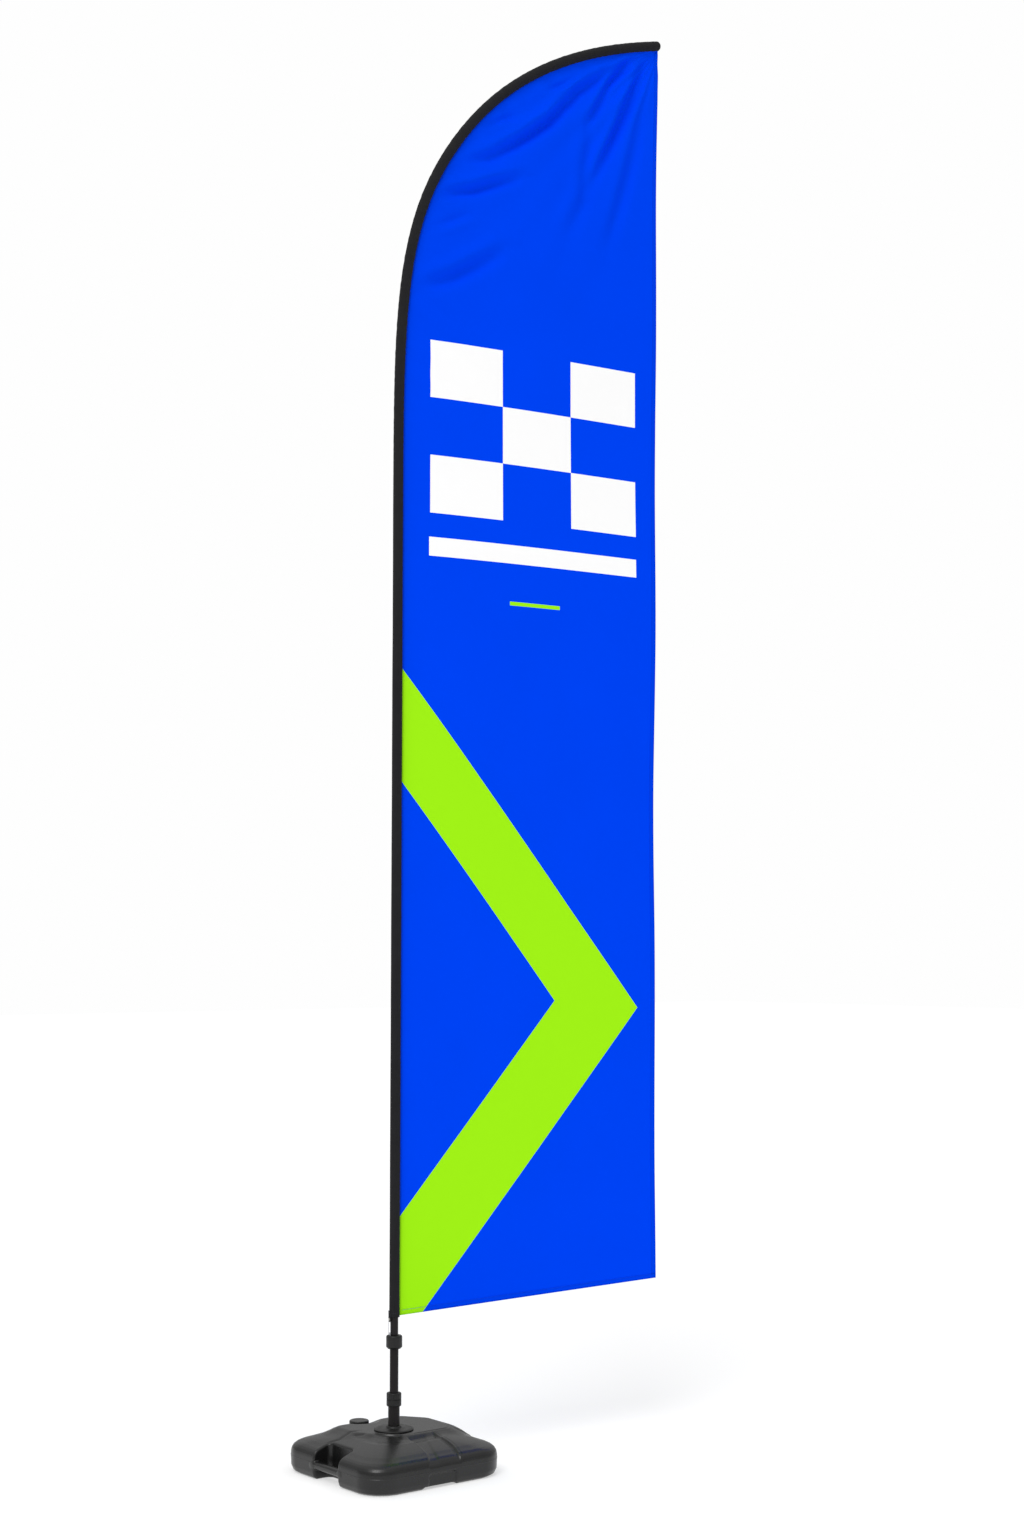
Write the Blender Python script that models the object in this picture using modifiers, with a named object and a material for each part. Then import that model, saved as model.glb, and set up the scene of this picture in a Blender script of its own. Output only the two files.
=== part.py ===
"""Feather flag on a sectioned pole, turning on a spindle in a fillable moulded base.

Metres, +Z up. The origin is on the pole's axis, in the middle of the base's underside.
The base's sides face X and Y. The mast group is drawn in its own XZ plane, bending
towards its own +X, and hangs on an empty that turns it to FLAG_HEADING.
"""

import math

import bmesh
import bpy
from mathutils import Vector
from mathutils.geometry import interpolate_bezier

# Clearances
GAP = 0.0003  # between pieces that touch, screw or press together
RUNNING_GAP = 0.0007  # radial, round what turns or screws off

# Base tank
BASE_SIDE = 0.450
BASE_CORNER = 0.074
TANK_WALL = 0.0035
FOOT_INSET = 0.017
SEAM_HEIGHT = 0.045
SHOULDER_HEIGHT = 0.077
SHOULDER_INSET = 0.028
SLOPE_CURVE = 0.9  # how early the top rises from the shoulder
SLOPE_REACH = 0.072  # how far the slope runs in from the shoulder
LOBE_HEIGHT = 0.101  # the flat of the top, round the raised pad
LOBE_CORNER = 0.085
WELL_WALL = 0.005
WELL_FLOOR = 0.0055

# Raised pad that carries the post, reaching to the right and the back
PLATEAU_HEIGHT = 0.113
PAD_CORNERS = (
    (-0.005, -0.070),
    (0.132, -0.070),
    (0.160, -0.040),
    (0.160, 0.070),
    (0.115, 0.134),
    (-0.100, 0.136),
    (-0.100, 0.045),
    (-0.058, -0.052),
)
PAD_ROUNDING = 0.022
PAD_SLOPE = ((-0.036, 0.030), (-0.012, 0.014), (-0.0035, 0.0045), (0.0, 0.0))  # drop, growth

# Grip on the -X side, and the shallow arch under the -Y side
GRIP_WIDTH = 0.120
GRIP_BAR_DEPTH = 0.022
GRIP_BAR_LOW = 0.028
GRIP_BAR_HIGH = 0.048
FINGER_SPACE = 0.038
GRIP_CORNER = 0.010
ARCH_WIDTH = 0.110
ARCH_HEIGHT = 0.007
ARCH_DEPTH = 0.012

# Filler on the +Y side
FILLER_FROM_SIDE = 0.057
FILLER_BOSS_RADIUS = 0.031
FILLER_BOSS_PROUD = 0.0004  # over the slope at the boss's inner edge
FILLER_DISH_LOW = 0.033  # radius of the dish in the pad round the boss, at its bottom
FILLER_DISH_HIGH = 0.057  # and at the pad's top
NECK_RADIUS = 0.0215
NECK_BORE = 0.0180
NECK_HEIGHT = 0.0085
CAP_RADIUS = 0.0275
CAP_TOP_THICKNESS = 0.0025
GASKET_THICKNESS = 0.0015

# Post, its screwed foot and its flange
POST_RADIUS = 0.016
POST_WALL = 0.002
POST_SHOWS = 0.077  # from the plateau to the post's top
INSERT_HEIGHT = 0.0245
STUD_RADIUS = 0.008
STUD_LENGTH = 0.018
PLUG_HEIGHT = 0.015
FLANGE_RADIUS = 0.0545
FLANGE_THICKNESS = 0.0052
FLANGE_LIP = 0.006
FLANGE_LIP_WALLS = (0.0045, 0.0060)  # at the lip's top and foot
FLANGE_EDGE = 0.0015
SEAL_RADIUS = 0.030
SEAL_THICKNESS = 0.0014

# Twist lock on the post's top
LOCK_WALL = 0.0042
LOCK_BELOW_TOP = 0.013
LOCK_CEILING = 0.004
COLLET_HEIGHT = 0.0125
COLLET_WALL = 0.004
COLLET_SLOT = 0.002
RING_TOP_THICKNESS = 0.0055

# Riser, spindle and thrust washer
RISER_WALL = 0.0015
RISER_IN_POST = 0.080
RISER_SHOWS = 0.1185  # from the lock ring to the hub collar
GUIDE_HEIGHT = 0.022
GUIDE_WALL = 0.0014
GUIDE_TURN_IN = 0.004  # under the riser's end
GUIDE_LIP = 0.001  # of the turn-in, inside the riser's bore
SPINDLE_RADIUS = 0.006
SPINDLE_ABOVE_HUB = 0.150
SPINDLE_IN_RISER = 0.045
WASHER_THICKNESS = 0.0015

# Hub collar at the mast's foot
HUB_WALL = 0.0098
HUB_HEIGHT = 0.0365
HUB_CHAMFER = 0.005
HUB_OVER_RISER = 0.0085
HUB_WEB = 0.0075
BUSH_HEIGHT = 0.022

# Mast line: straight, then two smooth stretches through the knee to the tip
SLEEVE_ABOVE_HUB = 0.049
FLAG_HEIGHT = 3.833  # sleeve's foot to the tip
BEND_RISE = 1.620
BEND_REACH = 0.916
KNEE = (0.199, 1.1825)  # from the bend's start
KNEE_ANGLE = math.radians(54.5)
TIP_ANGLE = math.radians(13.2)
BEND_HANDLES = (0.6255, 0.354, 0.280, 0.324)
FLAG_HEADING = math.radians(-8.0)

# Pole sections, from the foot up
SECTION_RADIUS = 0.011
TUBE_WALLS = (0.0017, 0.0015, 0.0014)
SPIGOT = 0.120  # how far each section stands in the one below
FERRULE_WALL = 0.0012
FERRULE_LENGTH = 0.040
TIP_CAP_EASE = 0.0011  # radial, inside the sleeve's pocket
TIP_CAP_LENGTH = 0.020
TIP_CAP_NOSE = 0.005
TIP_INSET = 0.012  # from the line's end back to the rod's

# Flag
SLEEVE_EASE = 0.0008  # radial, over the widest ferrule
SLEEVE_WALL = 0.0009
POCKET_LENGTH = 0.030
PANEL_THICKNESS = 0.0010
PANEL_FOOT_WIDTH = 0.857  # along the lower edge, from the sleeve
PANEL_FOOT_RISE = 0.038  # of the lower edge, from the sleeve to the free corner
PANEL_FOOT_ABOVE_SLEEVE = 0.003
FREE_EDGE_CURVE = 1.7  # how late the free edge leans out towards the tip

# Tension cord between the sleeve and the hub
CORD_RADIUS = 0.00075
CORD_TURN = 0.003
CORD_CLEAR = 0.0055  # of its middle, above the hub's top and the tab's foot
TAB_WIDTH = 0.012
TAB_THICKNESS = 0.0012
TAB_ABOVE_FOOT = 0.018
TAB_BELOW_FOOT = 0.012
EYELET_BORE = 0.0020
EYELET_WALL = 0.0005
EYELET_FLANGE = 0.0038
STAPLE_WIRE = 0.0009
STAPLE_HALF_WIDTH = 0.0040

# Roundness
ROUND_STEPS = 24
SMALL_STEPS = 16
CORNER_STEPS = 6
STATIONS = 15  # along each of the bend's two stretches

# Worked out from the sizes above
HALF_SIDE = BASE_SIDE / 2
POST_TOP = PLATEAU_HEIGHT + POST_SHOWS
POST_FOOT = WELL_FLOOR + INSERT_HEIGHT + 2 * GAP
POST_BORE = POST_RADIUS - POST_WALL
LOCK_RADIUS = POST_RADIUS + GAP + LOCK_WALL
RISER_RADIUS = POST_BORE - 2 * GAP - GUIDE_WALL
HUB_RADIUS = RISER_RADIUS + RUNNING_GAP + HUB_WALL
SLEEVE_BORE = SECTION_RADIUS + GAP + FERRULE_WALL + SLEEVE_EASE
SLEEVE_RADIUS = SLEEVE_BORE + SLEEVE_WALL
TIP_CAP_RADIUS = SLEEVE_BORE - TIP_CAP_EASE
LOCK_TOP = POST_TOP + GAP + LOCK_CEILING
RING_TOP = LOCK_TOP + GAP + COLLET_HEIGHT + GAP + RING_TOP_THICKNESS
HUB_FOOT = RING_TOP + RISER_SHOWS
RISER_TOP = HUB_FOOT + HUB_OVER_RISER
RISER_BORE = RISER_RADIUS - RISER_WALL
RISER_FOOT = POST_TOP - RISER_IN_POST
HUB_CEILING = RISER_TOP + GAP + WASHER_THICKNESS + GAP
SOCKET_FLOOR = HUB_CEILING + HUB_WEB
POLE_FOOT = SOCKET_FLOOR + GAP
HUB_TOP = HUB_FOOT + HUB_HEIGHT
SLEEVE_FOOT = HUB_TOP + SLEEVE_ABOVE_HUB
FILLER_Y = HALF_SIDE - FILLER_FROM_SIDE
TAB_FROM_AXIS = SLEEVE_RADIUS + GAP + TAB_THICKNESS / 2


def slope_height(share):
    """Height of the tank's top, a share of the way in from the shoulder to the flat."""
    return SHOULDER_HEIGHT + (LOBE_HEIGHT - SHOULDER_HEIGHT) * share**SLOPE_CURVE


BOSS_SHARE = (HALF_SIDE - SHOULDER_INSET - FILLER_Y + FILLER_BOSS_RADIUS) / SLOPE_REACH
FILLER_BOSS_TOP = slope_height(min(BOSS_SHARE, 1)) + FILLER_BOSS_PROUD
NECK_TOP = FILLER_BOSS_TOP + NECK_HEIGHT


def clear_scene():
    for old in list(bpy.data.objects):
        bpy.data.objects.remove(old, do_unlink=True)


def collection(name):
    made = bpy.data.collections.new(name)
    bpy.context.scene.collection.children.link(made)
    return made


def finish(name, rgb, roughness, metallic=0.0):
    """A material with the part's colour, given as sRGB from 0 to 255."""
    made = bpy.data.materials.new(name)
    made.use_nodes = True
    shader = made.node_tree.nodes["Principled BSDF"]
    linear = [(v / 255 / 12.92 if v < 11 else ((v / 255 + 0.055) / 1.055) ** 2.4) for v in rgb]
    shader.inputs["Base Color"].default_value = (*linear, 1.0)
    shader.inputs["Roughness"].default_value = roughness
    shader.inputs["Metallic"].default_value = metallic
    return made


def add_part(name, mesh, material, parent=None):
    part = bpy.data.objects.new(name, mesh)
    PARTS.objects.link(part)
    part.data.materials.append(material)
    part.parent = parent
    return part


def add_cutter(name, mesh):
    cutter = bpy.data.objects.new(name, mesh)
    CUTTERS.objects.link(cutter)
    cutter.hide_render = True
    cutter.display_type = "WIRE"
    return cutter


def boolean(part, other, operation="DIFFERENCE"):
    modifier = part.modifiers.new(other.name, "BOOLEAN")
    modifier.object = other
    modifier.operation = operation


def shade(part):
    part.data.shade_smooth()
    part.data.set_sharp_from_angle(angle=math.radians(35))


def profile_mesh(name, profile):
    """Edges through (radius, height) points; the loop closes unless its ends are on the axis."""
    mesh = bpy.data.meshes.new(name)
    count = len(profile)
    edges = [(i, i + 1) for i in range(count - 1)]
    if profile[0][0] > 0 or profile[-1][0] > 0:
        edges.append((count - 1, 0))
    mesh.from_pydata([(radius, 0, height) for radius, height in profile], edges, [])
    return mesh


def screw(part, steps):
    modifier = part.modifiers.new("Turn", "SCREW")
    modifier.axis = "Z"
    modifier.steps = steps
    modifier.render_steps = steps
    modifier.use_merge_vertices = True
    modifier.merge_threshold = 0.00001
    modifier.use_smooth_shade = True


def turned(name, profile, material, steps=ROUND_STEPS, parent=None, at=(0, 0, 0)):
    """A turned part. Its profile runs down the outer side, from top to bottom."""
    part = add_part(name, profile_mesh(name, profile), material, parent)
    part.location = at
    screw(part, steps)
    return part


def turned_cutter(name, profile, steps=ROUND_STEPS, at=(0, 0, 0)):
    cutter = add_cutter(name, profile_mesh(name, profile))
    cutter.location = at
    screw(cutter, steps)
    return cutter


def ring(outer, inner, low, high):
    """Profile of a plain ring."""
    return [(outer, high), (outer, low), (inner, low), (inner, high)]


def rod(radius, low, high):
    """Profile of a plain solid cylinder."""
    return [(0, high), (radius, high), (radius, low), (0, low)]


def box_cutter(name, low, high, corner=0.0):
    """A box between two corners, its upright edges rounded when a corner radius is given."""
    shape = bmesh.new()
    bmesh.ops.create_cube(shape, size=1.0)
    size = [high[i] - low[i] for i in range(3)]
    centre = [(high[i] + low[i]) / 2 for i in range(3)]
    bmesh.ops.scale(shape, vec=size, verts=shape.verts)
    bmesh.ops.translate(shape, vec=centre, verts=shape.verts)
    if corner > 0:
        upright = [e for e in shape.edges if abs(e.verts[0].co.z - e.verts[1].co.z) > size[2] / 2]
        bmesh.ops.bevel(
            shape, geom=upright, offset=corner, segments=3, profile=0.5, affect="EDGES"
        )
    mesh = bpy.data.meshes.new(name)
    shape.to_mesh(mesh)
    shape.free()
    return add_cutter(name, mesh)


def rounded_square(half, corner, height):
    """Points round a square with rounded corners, counter-clockwise from +X."""
    points = []
    for quarter in range(4):
        middle = quarter * math.pi / 2 + math.pi / 4
        out = (half - corner) * math.sqrt(2)
        for step in range(CORNER_STEPS + 1):
            angle = quarter * math.pi / 2 + step / CORNER_STEPS * math.pi / 2
            x = out * math.cos(middle) + corner * math.cos(angle)
            y = out * math.sin(middle) + corner * math.sin(angle)
            points.append(Vector((x, y, height)))
    return points


def loft(name, sections):
    """A closed skin over sections with equal counts of points, from the lowest up."""
    shape = bmesh.new()
    rings = [[shape.verts.new(point) for point in section] for section in sections]
    count = len(sections[0])
    for below, above in zip(rings, rings[1:]):
        for i in range(count):
            j = (i + 1) % count
            shape.faces.new((below[i], below[j], above[j], above[i]))
    shape.faces.new(list(reversed(rings[0])))
    shape.faces.new(rings[-1])
    mesh = bpy.data.meshes.new(name)
    shape.to_mesh(mesh)
    shape.free()
    return mesh


def tank_sections(inset):
    """The tank's outer form, or its hollow when inset is the wall's thickness."""
    outline = [
        (0.0, FOOT_INSET, 0.0),
        (0.008, FOOT_INSET / 2, 0.0),
        (SEAM_HEIGHT - 0.004, 0.001, 0.0),
        (SEAM_HEIGHT, 0.0, 0.0),
        (SEAM_HEIGHT + 0.013, 0.003, 0.0),
        (SHOULDER_HEIGHT - 0.007, SHOULDER_INSET / 2, 0.0),
    ]
    for step in range(5):
        share = step / 4
        outline.append((slope_height(share), SHOULDER_INSET + SLOPE_REACH * share, share))
    sections = []
    lowest = outline[0][0] + inset
    highest = outline[-1][0] - inset
    for height, from_side, round_share in outline:
        half = HALF_SIDE - from_side - inset
        corner = max(BASE_CORNER - inset, 0.01)
        corner += (LOBE_CORNER - BASE_CORNER) * round_share
        sections.append(rounded_square(half, corner, min(max(height, lowest), highest)))
        if inset and round_share:
            for point in sections[-1]:
                point.z = max(height - inset, lowest)
    if inset:
        del sections[1]
    return sections


def pad_sections(inset):
    """The pad's form, a rounded outline that narrows upwards, or its hollow inside a wall."""
    count = len(PAD_CORNERS)
    corners = [Vector((x, y, 0)) for x, y in PAD_CORNERS]
    arcs = []
    for i, corner in enumerate(corners):
        came = (corner - corners[i - 1]).normalized()
        goes = (corners[(i + 1) % count] - corner).normalized()
        turn = came.angle(goes)
        inward = (goes - came).normalized()
        centre = corner + inward * PAD_ROUNDING / math.cos(turn / 2)
        arcs.append((centre, math.atan2(-came.x, came.y), turn))
    sections = []
    for drop, growth in PAD_SLOPE:
        radius = PAD_ROUNDING + growth - inset
        height = Vector((0, 0, PLATEAU_HEIGHT + drop - inset))
        section = []
        for centre, start, turn in arcs:
            for step in range(CORNER_STEPS // 2 + 1):
                angle = start + turn * step / (CORNER_STEPS // 2)
                out = Vector((math.cos(angle), math.sin(angle), 0))
                section.append(centre + out * radius + height)
        sections.append(section)
    return sections


def filler_dish(name, wall):
    """A cone that clears the pad away round the filler, or keeps a wall to it in the hollow."""
    low = FILLER_BOSS_TOP - wall
    high = PLATEAU_HEIGHT + 0.01
    widening = (FILLER_DISH_HIGH - FILLER_DISH_LOW) / (PLATEAU_HEIGHT - FILLER_BOSS_TOP)
    top_radius = FILLER_DISH_LOW + widening * (high - FILLER_BOSS_TOP) + wall
    profile = [(0, high), (top_radius, high), (FILLER_DISH_LOW + wall, low), (0, low)]
    return turned_cutter(name, profile, at=(0, FILLER_Y, 0))


def make_base():
    tank = add_part("base_tank", loft("base_tank", tank_sections(0.0)), BLACK_PLASTIC)
    well_radius = POST_RADIUS + GAP
    well = turned_cutter("well_bore", rod(well_radius, WELL_FLOOR, PLATEAU_HEIGHT + 0.05))
    neck = turned_cutter(
        "filler_neck_form",
        [
            (0, NECK_TOP),
            (NECK_RADIUS, NECK_TOP),
            (NECK_RADIUS, FILLER_BOSS_TOP),
            (FILLER_BOSS_RADIUS, FILLER_BOSS_TOP),
            (FILLER_BOSS_RADIUS, SHOULDER_HEIGHT - 0.010),
            (0, SHOULDER_HEIGHT - 0.010),
        ],
        at=(0, FILLER_Y, 0),
    )
    neck_bore = turned_cutter(
        "filler_bore",
        rod(NECK_BORE, SHOULDER_HEIGHT - 0.015, NECK_TOP + 0.01),
        at=(0, FILLER_Y, 0),
    )

    pad = add_cutter("pad_form", loft("pad_form", pad_sections(0.0)))
    boolean(pad, filler_dish("filler_dish", 0.0))

    # The pocket goes right through, round the bar that is left standing in it.
    outside = -HALF_SIDE - 0.02
    bar_back = -HALF_SIDE + GRIP_BAR_DEPTH
    space_back = bar_back + FINGER_SPACE
    reach = GRIP_WIDTH / 2
    above_all = PLATEAU_HEIGHT + 0.05
    pocket = box_cutter(
        "grip_pocket", (outside, -reach, -0.02), (space_back, reach, above_all), GRIP_CORNER
    )
    bar_form = box_cutter(
        "bar_form",
        (outside - 0.01, -reach - 0.02, GRIP_BAR_LOW),
        (bar_back, reach + 0.02, GRIP_BAR_HIGH),
    )
    boolean(pocket, bar_form)
    arch = box_cutter(
        "front_arch",
        (-ARCH_WIDTH / 2, -HALF_SIDE - 0.02, -0.02),
        (ARCH_WIDTH / 2, arch_back(), ARCH_HEIGHT),
        GRIP_CORNER,
    )

    # The hollow keeps walls round the well and the grip, and a floor over the arch.
    hollow = add_cutter("tank_hollow", loft("tank_hollow", tank_sections(TANK_WALL)))
    pad_hollow = add_cutter("pad_hollow", loft("pad_hollow", pad_sections(TANK_WALL)))
    boolean(pad_hollow, filler_dish("filler_dish_wall", TANK_WALL))
    boolean(hollow, pad_hollow, "UNION")
    well_core = turned_cutter("well_core", rod(well_radius + WELL_WALL, -0.02, above_all))
    grip_core = box_cutter(
        "grip_core",
        (outside, -reach - TANK_WALL, -0.03),
        (space_back + TANK_WALL, reach + TANK_WALL, above_all),
    )
    arch_core = box_cutter(
        "arch_core",
        (-ARCH_WIDTH / 2 - TANK_WALL, -HALF_SIDE - 0.02, -0.03),
        (ARCH_WIDTH / 2 + TANK_WALL, arch_back() + TANK_WALL, ARCH_HEIGHT + TANK_WALL),
    )
    for core in (well_core, grip_core, arch_core):
        boolean(hollow, core)
    boolean(tank, pad, "UNION")
    for cutter in (pocket, arch):
        boolean(tank, cutter)
    boolean(tank, neck, "UNION")
    for cutter in (hollow, well, neck_bore):
        boolean(tank, cutter)


def arch_back():
    return -HALF_SIDE + FOOT_INSET + ARCH_DEPTH


def make_filler_cap():
    at = (0, FILLER_Y, 0)
    gasket_low = NECK_TOP + GAP
    gasket_high = gasket_low + GASKET_THICKNESS
    turned(
        "filler_gasket",
        ring(NECK_RADIUS - GAP, NECK_BORE + GAP, gasket_low, gasket_high),
        RUBBER,
        SMALL_STEPS,
        at=at,
    )
    ceiling = gasket_high + GAP
    top = ceiling + CAP_TOP_THICKNESS
    skirt_low = FILLER_BOSS_TOP + 2 * GAP
    turned(
        "filler_cap",
        [
            (0, top),
            (CAP_RADIUS - 0.003, top),
            (CAP_RADIUS, top - 0.002),
            (CAP_RADIUS, skirt_low),
            (NECK_RADIUS + RUNNING_GAP, skirt_low),
            (NECK_RADIUS + RUNNING_GAP, ceiling),
            (0, ceiling),
        ],
        BLACK_PLASTIC,
        at=at,
    )


def make_post():
    turned(
        "well_insert",
        ring(POST_RADIUS, STUD_RADIUS + GAP, WELL_FLOOR + GAP, WELL_FLOOR + GAP + INSERT_HEIGHT),
        BRASS,
        SMALL_STEPS,
    )
    turned("base_post", ring(POST_RADIUS, POST_BORE, POST_FOOT, POST_TOP), DARK_TUBE)
    plug_radius = POST_BORE - GAP
    turned(
        "post_screw_plug",
        [
            (0, POST_FOOT + PLUG_HEIGHT),
            (plug_radius, POST_FOOT + PLUG_HEIGHT),
            (plug_radius, POST_FOOT),
            (STUD_RADIUS, POST_FOOT),
            (STUD_RADIUS, POST_FOOT - STUD_LENGTH),
            (0, POST_FOOT - STUD_LENGTH),
        ],
        STEEL,
        SMALL_STEPS,
    )
    seat = PLATEAU_HEIGHT + GAP
    bore = POST_RADIUS + GAP
    turned("post_seal", ring(SEAL_RADIUS, bore, seat, seat + SEAL_THICKNESS), RUBBER)
    top = seat + FLANGE_THICKNESS
    recess_top = seat + SEAL_THICKNESS + GAP
    turned(
        "post_flange",
        [
            (bore + FLANGE_LIP_WALLS[0], top + FLANGE_LIP),
            (bore + FLANGE_LIP_WALLS[1], top + 0.001),
            (FLANGE_RADIUS - FLANGE_EDGE, top),
            (FLANGE_RADIUS, top - FLANGE_EDGE),
            (FLANGE_RADIUS, seat),
            (SEAL_RADIUS + GAP, seat),
            (SEAL_RADIUS + GAP, recess_top),
            (bore, recess_top),
            (bore, top + FLANGE_LIP),
        ],
        BLACK_PLASTIC,
        32,
    )


def make_twist_lock():
    riser_hole = RISER_RADIUS + GAP
    turned(
        "lock_body",
        [
            (LOCK_RADIUS, LOCK_TOP),
            (LOCK_RADIUS, POST_TOP - LOCK_BELOW_TOP),
            (POST_RADIUS + GAP, POST_TOP - LOCK_BELOW_TOP),
            (POST_RADIUS + GAP, POST_TOP + GAP),
            (riser_hole, POST_TOP + GAP),
            (riser_hole, LOCK_TOP),
        ],
        BLACK_PLASTIC,
    )
    collet_low = LOCK_TOP + GAP
    collet_high = collet_low + COLLET_HEIGHT
    collet_outer = riser_hole + COLLET_WALL
    collet = turned(
        "lock_collet",
        [
            (collet_outer - 0.001, collet_high),
            (collet_outer, collet_low),
            (riser_hole, collet_low),
            (riser_hole, collet_high),
        ],
        BLACK_PLASTIC,
        SMALL_STEPS,
    )
    slot = box_cutter(
        "collet_slot",
        (0, -COLLET_SLOT / 2, collet_low - 0.001),
        (collet_outer + 0.002, COLLET_SLOT / 2, collet_high + 0.001),
    )
    boolean(collet, slot)
    ring_ceiling = collet_high + GAP
    turned(
        "lock_ring",
        [
            (LOCK_RADIUS - 0.001, RING_TOP),
            (LOCK_RADIUS, RING_TOP - 0.001),
            (LOCK_RADIUS, collet_low),
            (collet_outer + GAP, collet_low),
            (collet_outer + GAP, ring_ceiling),
            (RISER_RADIUS + RUNNING_GAP, ring_ceiling),
            (RISER_RADIUS + RUNNING_GAP, RING_TOP),
        ],
        BLACK_PLASTIC,
    )


def make_riser():
    turned("riser_tube", ring(RISER_RADIUS, RISER_BORE, RISER_FOOT, RISER_TOP), DARK_TUBE)
    guide_low = RISER_FOOT - GAP - GUIDE_TURN_IN
    turned(
        "riser_guide",
        [
            (POST_BORE - GAP, guide_low + GUIDE_HEIGHT),
            (POST_BORE - GAP, guide_low),
            (RISER_BORE - GUIDE_LIP, guide_low),
            (RISER_BORE - GUIDE_LIP, RISER_FOOT - GAP),
            (RISER_RADIUS + GAP, RISER_FOOT - GAP),
            (RISER_RADIUS + GAP, guide_low + GUIDE_HEIGHT),
        ],
        BLACK_PLASTIC,
        SMALL_STEPS,
    )
    spindle_foot = RISER_TOP - SPINDLE_IN_RISER
    plug_radius = RISER_BORE - GAP
    turned(
        "spindle_plug",
        [
            (SPINDLE_RADIUS + GAP, RISER_TOP - 0.002),
            (plug_radius, RISER_TOP - 0.002),
            (plug_radius, spindle_foot - 0.003),
            (0, spindle_foot - 0.003),
            (0, spindle_foot - GAP),
            (SPINDLE_RADIUS + GAP, spindle_foot - GAP),
        ],
        STEEL,
        SMALL_STEPS,
    )
    spindle_top = HUB_TOP + SPINDLE_ABOVE_HUB
    turned(
        "spindle",
        [
            (0, spindle_top),
            (SPINDLE_RADIUS - 0.002, spindle_top),
            (SPINDLE_RADIUS, spindle_top - 0.004),
            (SPINDLE_RADIUS, spindle_foot),
            (0, spindle_foot),
        ],
        STEEL,
        SMALL_STEPS,
    )
    turned(
        "thrust_washer",
        ring(RISER_RADIUS, SPINDLE_RADIUS + GAP, RISER_TOP + GAP, HUB_CEILING - GAP),
        WHITE_PLASTIC,
        SMALL_STEPS,
    )


def make_hub():
    bore = RISER_RADIUS + RUNNING_GAP
    turned(
        "hub_collar",
        [
            (HUB_RADIUS - 0.0035, HUB_TOP),
            (HUB_RADIUS - 0.001, HUB_TOP - 0.0015),
            (HUB_RADIUS, HUB_TOP - 0.004),
            (HUB_RADIUS, HUB_FOOT + HUB_CHAMFER),
            (HUB_RADIUS - HUB_CHAMFER, HUB_FOOT),
            (bore, HUB_FOOT),
            (bore, HUB_CEILING),
            (SPINDLE_RADIUS + RUNNING_GAP, HUB_CEILING),
            (SPINDLE_RADIUS + RUNNING_GAP, SOCKET_FLOOR),
            (SECTION_RADIUS + GAP, SOCKET_FLOOR),
            (SECTION_RADIUS + GAP, HUB_TOP),
        ],
        BLACK_PLASTIC,
        parent=MAST,
    )
    outer = SECTION_RADIUS - TUBE_WALLS[0] - 2 * GAP
    upper_low = HUB_TOP + SPINDLE_ABOVE_HUB - 0.030
    for name, low in (("spindle_bush_lower", POLE_FOOT + GAP), ("spindle_bush_upper", upper_low)):
        turned(
            name,
            ring(outer, SPINDLE_RADIUS + GAP, low, low + BUSH_HEIGHT),
            WHITE_PLASTIC,
            SMALL_STEPS,
            parent=MAST,
        )


class MastLine:
    """The pole's centre line, measured along its length from the pole's foot.

    Round the bend it runs straight from station to station, and every piece that follows
    it turns at the same stations, so that nested tubes keep their clearance.
    """

    def __init__(self):
        bend_start = SLEEVE_FOOT + FLAG_HEIGHT - BEND_RISE
        start = Vector((0, 0, bend_start))
        knee = start + Vector((KNEE[0], 0, KNEE[1]))
        tip = start + Vector((BEND_REACH, 0, BEND_RISE))
        at_knee = Vector((math.cos(KNEE_ANGLE), 0, math.sin(KNEE_ANGLE)))
        at_tip = Vector((math.cos(TIP_ANGLE), 0, math.sin(TIP_ANGLE)))
        leave, reach, onward, arrive = BEND_HANDLES
        rise = Vector((0, 0, leave))
        lower = interpolate_bezier(start, start + rise, knee - at_knee * reach, knee, STATIONS)
        upper = interpolate_bezier(
            knee, knee + at_knee * onward, tip - at_tip * arrive, tip, STATIONS
        )
        self.points = [Vector((0, 0, POLE_FOOT)), *lower, *upper[1:]]
        self.lengths = [0.0]
        for before, after in zip(self.points, self.points[1:]):
            self.lengths.append(self.lengths[-1] + (after - before).length)
        self.total = self.lengths[-1]

    def at(self, length):
        span = 1
        while span < len(self.points) - 1 and self.lengths[span] < length:
            span += 1
        before = self.lengths[span - 1]
        share = (length - before) / (self.lengths[span] - before)
        return self.points[span - 1].lerp(self.points[span], share)

    def direction(self, length):
        return (self.at(length + 0.001) - self.at(length - 0.001)).normalized()

    def marks(self, low, high):
        """The lengths of two ends and of the stations between them."""
        between = [mark for mark in self.lengths if low + 0.004 < mark < high - 0.004]
        return [low, *between, high]

    def stretch(self, low, high):
        return [self.at(mark) for mark in self.marks(low, high)]


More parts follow.
